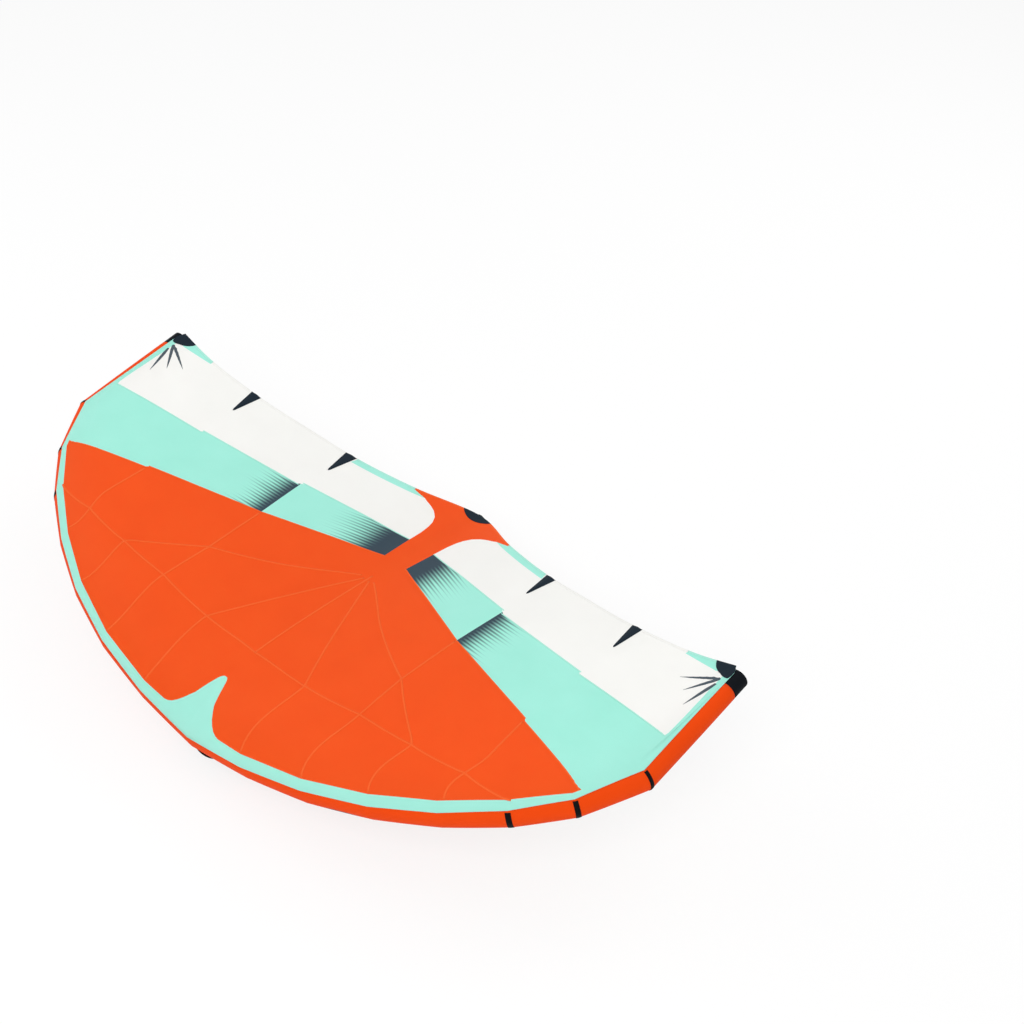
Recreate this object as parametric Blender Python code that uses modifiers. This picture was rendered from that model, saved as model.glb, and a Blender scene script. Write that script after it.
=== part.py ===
"""Wingfoil wing of about five square metres.

A segmented inflatable leading edge and a centre strut carry a sewn single-skin
canopy. Two soft handles hang under the strut, a third hangs under the nose, and
a capped valve at the back of the leading edge fills the bladders.

The frame is in metres: -Y towards the nose, +Z up, +X towards the right tip as
seen by someone who faces the nose. Stations 0 to 8 run from the nose to a tip,
one at each mitred joint of the leading edge, and a negative station is on the
left half. Shares along the canopy run from its front seam, 0, to its tail, 1.
"""
import math

import bmesh
import bpy
import numpy as np
from mathutils import Matrix, Vector
from mathutils.geometry import delaunay_2d_cdt

# Plan and rise of the canopy's front seam and of its tail, per station
HALF_SPAN = 1.635
CENTRE_CHORD = 1.796
TIP_RISE = 0.426
SEAM_X_SHARES = (0.0, 0.183, 0.363, 0.531, 0.680, 0.812, 0.919, 1.0, 1.003)
SEAM_Y_SHARES = (0.0, 0.009, 0.036, 0.086, 0.155, 0.239, 0.338, 0.476, 0.807)
SEAM_Z_SHARES = (0.0, 0.100, 0.230, 0.355, 0.478, 0.604, 0.716, 0.834, 1.0)
TAIL_X_SHARES = (0.0, 0.180, 0.353, 0.513, 0.640, 0.747, 0.833, 0.907, 0.996)
TAIL_Y_SHARES = (1.0, 0.931, 0.881, 0.851, 0.829, 0.816, 0.808, 0.809, 0.816)
TAIL_Z_SHARES = (0.0, 0.199, 0.363, 0.519, 0.643, 0.755, 0.848, 0.915, 1.006)

# Camber of the canopy above the line from seam to tail
CAMBER = 0.190
CAMBER_SHARES = (1.0, 0.80, 0.68, 0.51, 0.39, 0.26, 0.16, 0.09, 0.0)
CREST_SHARE = 0.22
TAIL_FULLNESS = 1.5
LEAVING_DRAW_SHARE = 1.0

# Leading edge tube: radius, and where on its section the canopy joins and leaves it
NOSE_RADIUS = 0.130
TUBE_RADIUS_SHARES = (1.0, 0.945, 0.845, 0.757, 0.680, 0.608, 0.520, 0.447, 0.376)
SEAM_DEGREES = (5.0, 7.0, 14.0, 21.0, 30.0, 41.0, 56.0, 78.0, 99.0)
LEAVING_DEGREES = (45.0, 48.0, 55.0, 62.0, 70.0, 78.0, 86.0, 96.0, 106.0)
WRAP_SHARE = 0.06
TUBE_SIDES = 24
BLADDER_SIDES = 12

# Walls and clearances
GAP = 0.0003
CLOTH = 0.0008
CLOTH_STANDOFF = 0.0022
CASING_WALL = 0.0010
BLADDER_WALL = 0.0005
CAP_WALL = 0.0016
BAND_WALL = 0.0008
FACET_ROOM = 0.0006
BLADDER_ROOM = 0.0006
MERGE = 0.00001
FLAT_MERGE = 0.0000001
SLIVER_AREA = 0.000001
SHARP_DEGREES = 35.0
TURN_STEPS = 24

# Leading edge trim
CAP_LENGTH = 0.082
CAP_DOME = 0.012
BAND_WIDTH = 0.022
BAND_REAR_DEGREES = 135.0
BAND_STATIONS = (5, 6, 7)
BAND_EDGE_DEGREES = 6.0
DOME_DEGREES = (30.0, 60.0, 80.0)
CORNER_DEGREES = 1.0

# Strut under the centre line: the belly line and radius of its free front part
STRUT_DEPTH = 0.165
STRUT_RADIUS = 0.096
STRUT_FRONT_Y_SHARES = (0.073, 0.100, 0.140, 0.182, 0.273, 0.349, 0.437, 0.528, 0.589)
STRUT_FRONT_RADIUS_SHARES = (0.51, 0.66, 0.85, 0.966, 1.0, 1.0, 0.99, 0.972, 0.943)
STRUT_FRONT_BELLY_SHARES = (0.70, 0.83, 0.95, 1.0, 0.967, 0.88, 0.73, 0.596, 0.50)
STRUT_REAR_SHARES = (0.655, 0.720, 0.790, 0.860, 0.920, 0.962)
STRUT_REAR_BELLY_SHARES = (0.414, 0.400, 0.392, 0.388, 0.386, 0.384)
STRUT_SIDES = 20
STRUT_CAP_LENGTH = 0.082
STRUT_CAP_DOME = 0.010
STRUT_BAND_Y_SHARES = (0.167, 0.316, 0.504, 0.703)
STRUT_BAND_WIDTH = 0.020
STRUT_BAND_OPEN_DEGREES = 14.0
STRUT_SEAT = 0.0006
WEB_WALL = 0.0010
WEB_REAR_SHARE = 0.537
WEB_FRONT_DEGREES = (105.0, 120.0, 135.0, 150.0, 165.0)
WEB_CORNER_STEPS = 30
STRUT_BLADDER_START_SHARE = 0.165
STRUT_BLADDER_RING_ROOM = 0.020

# Soft handles and the loops that carry them
PIN_RADIUS = 0.0040
PIN_PLAY = 0.00035
KEEPER_RADIUS = 0.0066
KEEPER_LENGTH = 0.018
HEAD_RADIUS = 0.0058
HEAD_LENGTH = 0.004
HEAD_PLAY = 0.001
HANDLE_WIDTH = 0.042
HANDLE_THICKNESS = 0.013
FRONT_HANDLE_SAG = 0.047
REAR_HANDLE_SAG = 0.052
NOSE_HANDLE_SAG = 0.050
NOSE_HANDLE_WIDTH = 0.032
NOSE_HANDLE_THICKNESS = 0.008
NOSE_KEEPER_X = 0.126
NOSE_KEEPER_DEGREES = -75.0
NOSE_KEEPER_ROOM = 0.0026
NOSE_HANGING_DEGREES = -56.0

KEEPER_SIDES = 16
SECTION_SIDES = 12
GRIP_SQUARENESS = 0.75
HANDLE_FORM_SHARES = ((0.0, 0.30, 0.42), (0.05, 0.50, 0.26), (0.13, 0.60, 0.26), (0.20, 0.92, 0.85),
                      (0.31, 1.0, 1.0), (0.43, 1.0, 1.0), (0.57, 1.0, 1.0), (0.69, 1.0, 1.0),
                      (0.80, 0.92, 0.85), (0.87, 0.60, 0.26), (0.95, 0.50, 0.26), (1.0, 0.30, 0.42))

# Grip pad and tabs under the nose
PAD_ROW_SHARES = (-1.0, -0.8, -0.5, 0.0, 0.5, 0.8, 1.0)
PAD_STEPS = 8
PAD_CURVE = 2.0
PAD_ROOM = 0.0020
PAD_HALF_WIDTH = 0.102
PAD_WALL = 0.0022
PAD_FRONT_DEGREES = -46.0
PAD_REAR_DEGREES = -128.0
PAD_END_REAR_DEGREES = -92.0
TAB_WIDTH = 0.024
TAB_WALL = 0.0010
TAB_FRONT_DEGREES = -48.0
TAB_REAR_DEGREES = -96.0

# Canopy joins as (station, share) pairs, from the centre line to the tip
STRIP_SHARES = ((0.0, 0.148), (0.08, 0.136), (0.2, 0.098), (0.31, 0.076), (0.42, 0.058),
                (0.53, 0.045), (1.0, 0.040), (2.0, 0.038), (3.0, 0.041), (4.0, 0.045),
                (5.0, 0.052), (6.0, 0.058), (6.66, 0.070), (7.1, 0.186), (7.55, 0.252),
                (7.86, 0.33), (7.97, 0.5))
FRONT_JOIN_SHARES = ((0.22, 0.683), (1.0, 0.658), (2.0, 0.601), (3.0, 0.525), (4.0, 0.422),
                     (5.0, 0.276), (6.0, 0.058))
REAR_JOIN_SHARES = ((0.25, 0.782), (1.0, 0.788), (2.0, 0.778), (3.0, 0.745), (4.0, 0.698),
                    (5.0, 0.631), (6.0, 0.526), (7.0, 0.275), (7.1, 0.186))
TAIL_SIDE_SHARES = ((0.25, 0.782), (0.30, 0.87), (0.5, 0.935), (0.74, 0.972))
TAIL_CORNER_STATION = 0.98
TIP_STATION = 7.97
TIP_PATCH_STATION = 7.43
HEM_WIDTH = 0.012
CENTRE_SHARES = (0.148, 0.16, 0.19, 0.22, 0.273, 0.349, 0.437, 0.528, 0.589, 0.655, 0.683)
NOSE_CENTRE_SHARES = (0.120, 0.085, 0.070, 0.060, 0.045, 0.030, 0.015)
TAIL_CENTRE_SHARES = (0.720, 0.790, 0.860, 0.920, 0.962)
WRAP_ROW_SHARES = (0.0, 0.015, 0.03, 0.045, 0.06, 0.07, 0.085)
FIELD_ROW_SHARES = (0.12, 0.165, 0.22, 0.29, 0.37, 0.45, 0.53, 0.61, 0.69, 0.77, 0.85, 0.93)
STATION_STEP = 1.0 / 3.0
FIELD_STATION_STEP = 0.5
LAYOUT_ROOM = 0.030
LAYOUT_WRAP_ROOM = 0.009
NORMAL_STEP_SHARE = 0.004
CORNER_DRAW_SHARE = 0.35
JOIN_END_STATIONS = 0.06
JOIN_OWN_STATIONS = 0.03
HEM_CORNER_STATIONS = 0.09
TAIL_CORNER_STATIONS = 0.05
PATCH_CORNER_STATIONS = 0.01

# Battens, their pockets and the tail patch
POCKETS = {"inner": ((2.02, 2.23), (2.09, 0.889)), "outer": ((4.38, 4.69), (4.43, 0.858))}
BATTEN_WIDTH = 0.006
BATTEN_THICKNESS = 0.0016
POCKET_RIDGE = 0.0034
BATTEN_SPAN_SHARES = (0.30, 0.45, 0.72, 0.97)
RIDGE_SPAN_SHARES = (0.18, 0.45, 0.72, 1.0)
TAIL_PATCH_STATION = 0.25
TAIL_PATCH_DEPTH_SHARE = 0.030
TAIL_PATCH_SHOULDER_SHARES = (0.62, 0.78)

# Inflation valve at the back of the leading edge, and the hose to the strut
VALVE_STATION = 0.92
VALVE_DEGREES = 202.5
VALVE_BORE = 0.0145
VALVE_NECK = 0.0190
VALVE_FLANGE = 0.0245
VALVE_FLANGE_WALL = 0.0018
VALVE_HEIGHT = 0.0120
VALVE_SINK = 0.0060
VALVE_HOLE = 0.0200
CAP_LID = 0.0205
CAP_LID_WALL = 0.0030
CAP_PLUG_DEPTH = 0.0060
HINGE_REACH = 0.0245
HINGE_RADIUS = 0.0026
HINGE_PIN = 0.0012
HINGE_KNUCKLE = 0.0070
HINGE_EAR = 0.0030
PORT_HALF_STATION = 0.11
HOSE_STATION = 0.44
HOSE_DEGREES = 187.5
HOSE_STRUT_Y_SHARE = 0.232
HOSE_STRUT_DEGREES = 27.0
HOSE_RADIUS = 0.0080
HOSE_POINTS = 14
HOSE_STUB = 0.016
PORT_RADIUS = 0.0120
PORT_WALL = 0.0015
PORT_HOLE = 0.0068
PORT_BORE = 0.0035
PLUG_DRAFT = 0.0012
HOLE_DEPTH = 0.02
PORT_HEIGHT = 0.0080
HOSE_DRAW = 0.06

ORANGE = "ED4A12"
ORANGE_CLOTH = "F25825"
MINT = "A5EBDA"
WHITE = "F4F4F0"
NAVY = "26323C"
BLACK = "101214"
CLEAR_GREY = "C9D2D6"
GREY = "55595C"


def start_scene():
    """Empty the scene and make the collections for the parts and the cutters."""
    for old in list(bpy.data.objects):
        bpy.data.objects.remove(old)
    parts = bpy.data.collections.new("wingfoil_wing")
    cutters = bpy.data.collections.new("cutters")
    bpy.context.scene.collection.children.link(parts)
    bpy.context.scene.collection.children.link(cutters)
    return parts, cutters


PARTS, CUTTERS = start_scene()


def material(name, colour, roughness, metallic=0.0):
    """A Principled material from an sRGB hex colour."""
    made = bpy.data.materials.get(name)
    if made:
        return made
    made = bpy.data.materials.new(name)
    made.use_nodes = True
    channels = [int(colour[i:i + 2], 16) / 255 for i in (0, 2, 4)]
    linear = [c / 12.92 if c <= 0.04045 else ((c + 0.055) / 1.055) ** 2.4 for c in channels]
    shader = made.node_tree.nodes["Principled BSDF"]
    shader.inputs["Base Color"].default_value = (*linear, 1.0)
    shader.inputs["Roughness"].default_value = roughness
    shader.inputs["Metallic"].default_value = metallic
    made.diffuse_color = (*linear, 1.0)
    return made


FINISHES = {
    "tube": (ORANGE, 0.55),
    "cloth_orange": (ORANGE_CLOTH, 0.6),
    "cloth_mint": (MINT, 0.6),
    "cloth_white": (WHITE, 0.6),
    "patch": (NAVY, 0.6),
    "webbing": (BLACK, 0.8),
    "bladder": (CLEAR_GREY, 0.4),
    "plastic": (BLACK, 0.4),
    "batten": (GREY, 0.4),
}


def add_object(name, mesh, finish):
    """Link a mesh as one named part with its finish."""
    part = bpy.data.objects.new(name, mesh)
    mesh.materials.append(material(finish, *FINISHES[finish]))
    PARTS.objects.link(part)
    return part


def skin(rings, close_first=False, close_last=False, loop=False, wrap=True, port=None):
    """A mesh through rings of points. A port is the (ring, side) of a face left out."""
    mesh_data = bmesh.new()
    rows = [[mesh_data.verts.new(Vector(p)) for p in ring] for ring in rings]
    count = len(rows[0])
    pairs = list(zip(rows, rows[1:]))
    if loop:
        pairs.append((rows[-1], rows[0]))
    for number, (row, following) in enumerate(pairs):
        for k in range(count if wrap else count - 1):
            after = (k + 1) % count
            if (number, k) != port:
                mesh_data.faces.new((row[k], row[after], following[after], following[k]))
    if close_first:
        mesh_data.faces.new(list(reversed(rows[0])))
    if close_last:
        mesh_data.faces.new(rows[-1])
    return mesh_data


def finish_mesh(name, mesh_data, finish, outward=True):
    """Turn a bmesh into a smooth-shaded part."""
    if outward:
        bmesh.ops.recalc_face_normals(mesh_data, faces=mesh_data.faces[:])
    mesh = bpy.data.meshes.new(name)
    mesh_data.to_mesh(mesh)
    mesh_data.free()
    mesh.shade_smooth()
    mesh.set_sharp_from_angle(angle=math.radians(SHARP_DEGREES))
    return add_object(name, mesh, finish)


def thicken(part, wall, offset):
    """Give an open surface its wall; offset 1 grows along the normals, -1 against."""
    solid = part.modifiers.new("wall", "SOLIDIFY")
    solid.thickness = wall
    solid.offset = offset
    solid.use_rim = True
    return solid


def make_cutter(part):
    """Keep an object out of the model and use it only to cut."""
    PARTS.objects.unlink(part)
    CUTTERS.objects.link(part)
    part.hide_render = True
    part.display_type = "WIRE"


def cut(part, cutter, operation="DIFFERENCE"):
    """Cut a part with, or join it to, an object of the cutter collection."""
    boolean = part.modifiers.new("cut", "BOOLEAN")
    boolean.operation = operation
    boolean.solver = "EXACT"
    boolean.object = cutter


def mix(a, b, share):
    """The point at a share of the way from a to b."""
    return a * (1 - share) + b * share


def at_station(values, station):
    """A station table read at any station, straight between its entries."""
    return float(np.interp(abs(station), range(len(values)), values))


def smooth_at(points, station):
    """A list of station points read along a smooth curve through them."""
    last = len(points) - 1
    i = min(int(station), last - 1)
    f = station - i
    mirrored = points[1] * np.array([-1.0, 1.0, 1.0])
    before = mirrored if i == 0 else points[i - 1]
    after = points[i + 2] if i + 2 <= last else 2 * points[last] - points[last - 1]
    a, b = points[i], points[i + 1]
    return 0.5 * (2 * a + (b - before) * f + (2 * before - 5 * a + 4 * b - after) * f ** 2
                  + (3 * a - before - 3 * b + after) * f ** 3)


def station_points(x_shares, y_shares, z_shares):
    """Real positions from the three share tables."""
    sizes = np.array([HALF_SPAN, CENTRE_CHORD, TIP_RISE])
    return [np.array(row) * sizes for row in zip(x_shares, y_shares, z_shares)]


SEAM = station_points(SEAM_X_SHARES, SEAM_Y_SHARES, SEAM_Z_SHARES)
TAIL = station_points(TAIL_X_SHARES, TAIL_Y_SHARES, TAIL_Z_SHARES)
RADII = [NOSE_RADIUS * share for share in TUBE_RADIUS_SHARES]
LAST = len(SEAM) - 1


def unit(vector):
    """The vector at length one."""
    return vector / np.linalg.norm(vector)


def tube_frames():
    """Centre, outward and upward axes and run of the tube's section at each station."""
    frames = []
    up = np.array([0.0, 0.0, 1.0])
    for i, seam in enumerate(SEAM):
        before = SEAM[1] * np.array([-1.0, 1.0, 1.0]) if i == 0 else SEAM[i - 1]
        run = unit(seam - before)
        if i < LAST:
            run = unit(run + unit(SEAM[i + 1] - seam))
        outward = unit(np.cross(run, up))
        lift = np.cross(outward, run)
        angle = math.radians(SEAM_DEGREES[i])
        centre = seam - RADII[i] * (math.cos(angle) * outward + math.sin(angle) * lift)
        frames.append((centre, outward, lift, run))
    return frames


FRAMES = tube_frames()


def mirrored(point, station):
    """The point on the left half for a negative station."""
    return point * np.array([-1.0, 1.0, 1.0]) if station < 0 else point


def tube_point(station, degrees, offset=0.0):
    """A point on the leading edge tube, offset outwards from its surface."""
    place = abs(station)
    i = min(int(place), LAST - 1)
    angle = math.radians(degrees)
    ends = []
    for k in (i, i + 1):
        centre, outward, lift, _ = FRAMES[k]
        ends.append(centre + (RADII[k] + offset)
                    * (math.cos(angle) * outward + math.sin(angle) * lift))
    return mirrored(mix(ends[0], ends[1], place - i), station)


def tube_ring(station, offset=0.0, sides=TUBE_SIDES):
    """One ring of the tube's faceted section."""
    return [tube_point(station, 360 * k / sides, offset) for k in range(sides)]


def crest_point(place):
    """The highest point of the canopy's section at a station."""
    crests = [mix(SEAM[i], TAIL[i], CREST_SHARE) + np.array([0, 0, CAMBER * CAMBER_SHARES[i]])
              for i in range(LAST + 1)]
    return smooth_at(crests, place)


def canopy_point(station, share):
    """A point in the middle of the canopy cloth, at a share of the way from seam to tail."""
    place = abs(station)
    leaving = at_station(LEAVING_DEGREES, place)
    if share <= WRAP_SHARE:
        degrees = mix(at_station(SEAM_DEGREES, place), leaving, share / WRAP_SHARE)
        return mirrored(tube_point(place, degrees, CLOTH_STANDOFF), station)
    height = CAMBER * at_station(CAMBER_SHARES, place)
    crest = crest_point(place)
    foot = crest - np.array([0, 0, height])
    tail = smooth_at(TAIL, place)
    if share > CREST_SHARE:
        f = (share - CREST_SHARE) / (1 - CREST_SHARE)
        point = mix(foot, tail, f) + np.array([0, 0, height * (1 - f ** TAIL_FULLNESS)])
        return mirrored(point, station)
    start = tube_point(place, leaving, CLOTH_STANDOFF)
    ahead = tube_point(place, leaving + 1, CLOTH_STANDOFF)
    reach = np.linalg.norm(crest - start)
    first = unit(ahead - start) * reach * LEAVING_DRAW_SHARE
    second = unit(tail - foot) * reach
    f = (share - WRAP_SHARE) / (CREST_SHARE - WRAP_SHARE)
    curve = ((2 * f ** 3 - 3 * f ** 2 + 1) * start + (f ** 3 - 2 * f ** 2 + f) * first
             + (3 * f ** 2 - 2 * f ** 3) * crest + (f ** 3 - f ** 2) * second)
    return mirrored(curve, station)


def canopy_up(station, share):
    """The canopy's upward normal at a point."""
    step = NORMAL_STEP_SHARE
    low = max(share - step, 0.0)
    high = min(share + step, 1.0)
    inner = min(abs(station), LAST - step)
    side = -1.0 if station < 0 else 1.0
    across = canopy_point(side * (inner + step), share) - canopy_point(side * inner, share)
    along = canopy_point(station, high) - canopy_point(station, low)
    return unit(side * np.cross(across, along))


def at_tail_line(place):
    """The run from the canopy's front seam to its tail at a station."""
    return smooth_at(TAIL, place) - smooth_at(SEAM, place)


def join_curve(table):
    """Points of a canopy join from its table, one at each third of a station."""
    first, last = table[0][0], table[-1][0]
    stations = [row[0] for row in table]
    shares = [row[1] for row in table]
    steps = [k * STATION_STEP for k in range(int(LAST / STATION_STEP) + 1)]
    kept = [s for s in steps if first + JOIN_END_STATIONS < s < last - JOIN_END_STATIONS]
    own = [s for s in stations if first < s < last
           and min(abs(s - k) for k in kept + [-1]) > JOIN_OWN_STATIONS]
    places = [first, *sorted(kept + own), last]
    return [(s, float(np.interp(s, stations, shares))) for s in places]


def hem_share(station):
    """Where the hem's front edge runs."""
    return 1 - HEM_WIDTH / np.linalg.norm(at_tail_line(abs(station)))


def layout(place):
    """A canopy place laid flat for filling a panel: its plan, with the steep front drawn out."""
    point = canopy_point(*place)
    return Vector((point[0], point[1] + point[2]))


def inside(point, outline):
    """Whether a flat point lies inside a closed outline."""
    crossings = 0
    for a, b in zip(outline, outline[1:] + outline[:1]):
        if (a.y > point.y) != (b.y > point.y):
            if point.x < a.x + (point.y - a.y) * (b.x - a.x) / (b.y - a.y):
                crossings += 1
    return crossings % 2 == 1


def distance_to(point, a, b):
    """Distance from a flat point to the stretch from a to b."""
    run = b - a
    share = max(0.0, min(1.0, (point - a).dot(run) / max(run.length_squared, 1e-12)))
    return (point - a - run * share).length


def field_points(flat, lines):
    """Grid places that fill a panel, kept clear of its outline, inner lines and each other."""
    edges = list(zip(flat, flat[1:] + flat[:1]))
    for line in lines:
        edges += list(zip(line, line[1:]))
    kept = []
    for share in (*WRAP_ROW_SHARES, *FIELD_ROW_SHARES):
        wrap = share in WRAP_ROW_SHARES
        step = STATION_STEP if wrap else FIELD_STATION_STEP
        room = LAYOUT_WRAP_ROOM if wrap else LAYOUT_ROOM
        for k in range(-int(LAST / step), int(LAST / step) + 1):
            place = (k * step, share)
            point = layout(place)
            if not inside(point, flat) or min(distance_to(point, a, b) for a, b in edges) < room:
                continue
            if all((point - other).length > room for _, other in kept):
                kept.append((place, point))
    return [place for place, _ in kept]


def crease_lines(places, flat):
    """Pairs of places that a crease along one of the tube's mitred joints runs between."""
    creases = []
    for station in range(-LAST, LAST + 1):
        column = sorted(p for p in places if abs(p[0] - station) < MERGE)
        for a, b in zip(column, column[1:]):
            if inside((layout(a) + layout(b)) / 2, flat):
                creases.append((a, b))
    return creases


def draw_in(mesh_data, distance):
    """Move a sheet's edge inwards, so that it stands clear of the next panel."""
    moves = {}
    for edge in mesh_data.edges:
        if not edge.is_boundary:
            continue
        face = edge.link_faces[0]
        run = (edge.verts[1].co - edge.verts[0].co).normalized()
        inward = face.normal.cross(run)
        if inward.dot(face.calc_center_median() - edge.verts[0].co) < 0:
            inward.negate()
        for vert in edge.verts:
            moves.setdefault(vert, []).append(inward)
    for vert, ways in moves.items():
        total = sum(ways, Vector())
        bend = max(total.length_squared / len(ways), CORNER_DRAW_SHARE)
        vert.co += total * (distance / bend)


def cloth(name, outline, finish, lines=(), lift=0.0, ridge=()):
    """A sewn panel: its outline of canopy places is filled, set on the canopy and thickened."""
    flat = [layout(place) for place in outline]
    grid = field_points(flat, [[layout(place) for place in line] for line in lines])
    places = list(outline)
    edges = [(k, (k + 1) % len(outline)) for k in range(len(outline))]
    for line in lines:
        first = len(places)
        places += line
        edges += [(k, k + 1) for k in range(first, first + len(line) - 1)]
    places += grid
    where = {place: k for k, place in enumerate(places)}
    edges += [(where[a], where[b]) for a, b in crease_lines(set(places), flat)]
    spots, _, faces, sources, *_ = delaunay_2d_cdt([layout(p) for p in places], edges, [], 0, FLAT_MERGE)
    mesh_data = bmesh.new()
    verts = []
    for source in sources:
        place = places[source[0]]
        rise = lift + (POCKET_RIDGE if place in ridge else 0)
        verts.append(mesh_data.verts.new(Vector(canopy_point(*place) + canopy_up(*place) * rise)))
    for face in faces:
        a, b, c = (spots[k] for k in face)
        area = abs((b - a).cross(c - a)) / 2
        if area > SLIVER_AREA and inside((a + b + c) / 3, flat):
            mesh_data.faces.new([verts[k] for k in face])
    for vert in [v for v in mesh_data.verts if not v.link_faces]:
        mesh_data.verts.remove(vert)
    mesh_data.normal_update()
    draw_in(mesh_data, GAP / 2)
    panel = finish_mesh(name, mesh_data, finish, outward=False)
    thicken(panel, CLOTH, 0)
    return panel


def flip(outline, side):
    """A right-hand outline, or its mirror image with the same winding."""
    if side > 0:
        return list(outline)
    return [(-s, v) for s, v in reversed(outline)]


def hem_line(first, last):
    """Places along the hem's front edge."""
    return [(s, hem_share(s)) for s, _ in join_curve(((first, 1), (last, 1)))]


def pocket_places(kind):
    """Outline and raised ridge of one batten pocket, and its batten's centre line."""
    (low, high), (nose, depth) = POCKETS[kind]
    middle = (low + high) / 2
    tail_low, tail_high = (low, hem_share(low)), (high, hem_share(high))
    tail_middle = (middle, hem_share(middle))
    ridge = [(mix(nose, middle, f), mix(depth, tail_middle[1], f)) for f in RIDGE_SPAN_SHARES]
    return [(nose, depth), tail_low, ridge[-1], tail_high], ridge


def hem_with_pockets(first, last):
    """The hem's front edge, with the corners of the pockets that end on it."""
    places = {round(s, 6): (s, v) for s, v in hem_line(first, last)}
    for kind in POCKETS:
        outline, _ = pocket_places(kind)
        for s, v in outline[1:]:
            if first < s < last:
                near = [k for k in places if abs(k - s) < HEM_CORNER_STATIONS and first < k < last]
                for k in near:
                    if places[k] not in outline:
                        del places[k]
                places[round(s, 6)] = (s, v)
    for s in (TAIL_PATCH_STATION, TIP_PATCH_STATION):
        if first < s < last:
            places[round(s, 6)] = (s, hem_share(s))
    return [places[k] for k in sorted(places)]


def tail_patch_line():
    """The curved front edge of the patch at the middle of the tail, left to right."""
    side = TAIL_PATCH_STATION
    depth = hem_share(0) - TAIL_PATCH_DEPTH_SHARE
    corner = hem_share(side)
    out, down = TAIL_PATCH_SHOULDER_SHARES
    return [(-side, corner), (-side * out, mix(corner, depth, down)), (0.0, depth),
            (side * out, mix(corner, depth, down)), (side, corner)]


def make_canopy():
    """The sewn panels, their hem and the patches on top of them."""
    hem_end = (TIP_STATION, hem_share(TIP_STATION))
    strip = join_curve(STRIP_SHARES)
    front_join = join_curve(FRONT_JOIN_SHARES)
    rear_join = join_curve(REAR_JOIN_SHARES)
    tail_front = front_join[0]
    front_corner = front_join[-1]
    rear_corner = rear_join[-1]
    strip_front = [p for p in strip if p[0] < front_corner[0] - MERGE]
    strip_middle = [p for p in strip if front_corner[0] + MERGE < p[0] < rear_corner[0] - MERGE]
    strip_rear = [p for p in strip if p[0] > rear_corner[0] + MERGE]
    centre = [(0.0, v) for v in CENTRE_SHARES]
    seam = join_curve(((0.0, 0.0), (TIP_STATION, 0.0)))
    tail_side = list(TAIL_SIDE_SHARES)
    tail_corner = (TAIL_CORNER_STATION, hem_share(TAIL_CORNER_STATION))
    hem_front = hem_with_pockets(0.0, TIP_STATION)
    hem_tail = [p for p in hem_front if p[0] < TAIL_CORNER_STATION - TAIL_CORNER_STATIONS] + [tail_corner]
    hem_rear = [tail_corner] + [p for p in hem_front if p[0] > TAIL_CORNER_STATION + TAIL_CORNER_STATIONS]
    hem_all = hem_tail + hem_rear[1:]
    hem_back = [(s, 1.0) for s, _ in hem_all]
    for side, word in ((1, "right"), (-1, "left")):
        edge = seam + list(reversed(strip)) + [(0.0, v) for v in NOSE_CENTRE_SHARES]
        cloth(f"canopy_edge_{word}", flip(edge, side), "cloth_mint")
        front = strip_front + [front_corner] + list(reversed(front_join))[1:] + list(reversed(centre))[:-1]
        cloth(f"canopy_front_{word}", flip(front, side), "cloth_orange")
        middle = (front_join[:-1] + [front_corner] + strip_middle + [rear_corner]
                  + list(reversed(rear_join))[1:])
        cloth(f"canopy_middle_{word}", flip(middle, side), "cloth_mint")
        pockets = [pocket_places(kind) for kind in POCKETS]
        lines = []
        for outline, ridge in pockets:
            lines.append(flip([outline[1], outline[0], outline[3]], side))
            lines.append(flip([outline[0], *ridge], side))
        tip_patch_line = [(TIP_PATCH_STATION, hem_share(TIP_PATCH_STATION)), STRIP_SHARES[-2]]
        lines.append(flip(tip_patch_line, side))
        rear = (rear_join[:-1] + [rear_corner] + strip_rear + list(reversed(hem_rear))
                + list(reversed(tail_side))[:-1])
        cloth(f"canopy_rear_{word}", flip(rear, side), "cloth_white", lines)
        hem = hem_all + list(reversed(hem_back))
        cloth(f"trailing_hem_{word}", flip(hem, side), "cloth_white")
        tip_hem = [p for p in reversed(hem_rear) if TIP_PATCH_STATION < p[0] < TIP_STATION]
        tip_strip = [p for p in strip if p[0] > tip_patch_line[1][0] + MERGE]
        tip = [tip_patch_line[1], *tip_strip, hem_end, *tip_hem, tip_patch_line[0]]
        cloth(f"tip_patch_{word}", flip(tip, side), "patch", lift=CLOTH + GAP)
        for kind, (outline, ridge) in zip(POCKETS, pockets):
            make_pocket(kind, word, side, outline, ridge)
    left_tail = [(-s, v) for s, v in reversed(hem_tail[1:])]
    side, share = tail_front
    tail = ([(-s, v) for s, v in reversed(tail_side)] + [(-side, share), (0.0, share), (side, share)]
            + tail_side + list(reversed(hem_tail)) + [(-s, v) for s, v in hem_tail[1:]])
    spine = [(0.0, share), *[(0.0, v) for v in TAIL_CENTRE_SHARES]]
    patch_line = tail_patch_line()
    front = patch_line[2][1] - NORMAL_STEP_SHARE
    spine = [p for p in spine if p[1] < front] + [patch_line[2], (0.0, hem_share(0))]
    cloth("canopy_tail", tail, "cloth_orange", [patch_line, spine])
    patch_end = TAIL_PATCH_STATION - PATCH_CORNER_STATIONS
    patch = patch_line + [(s, v) for s, v in reversed(hem_tail) if 0 < s < patch_end]
    patch += [(0.0, hem_share(0))]
    patch += [(-s, v) for s, v in hem_tail if 0 < s < patch_end]
    cloth("tail_patch", patch, "patch", [[patch_line[2], (0.0, hem_share(0))]], CLOTH + GAP)


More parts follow.
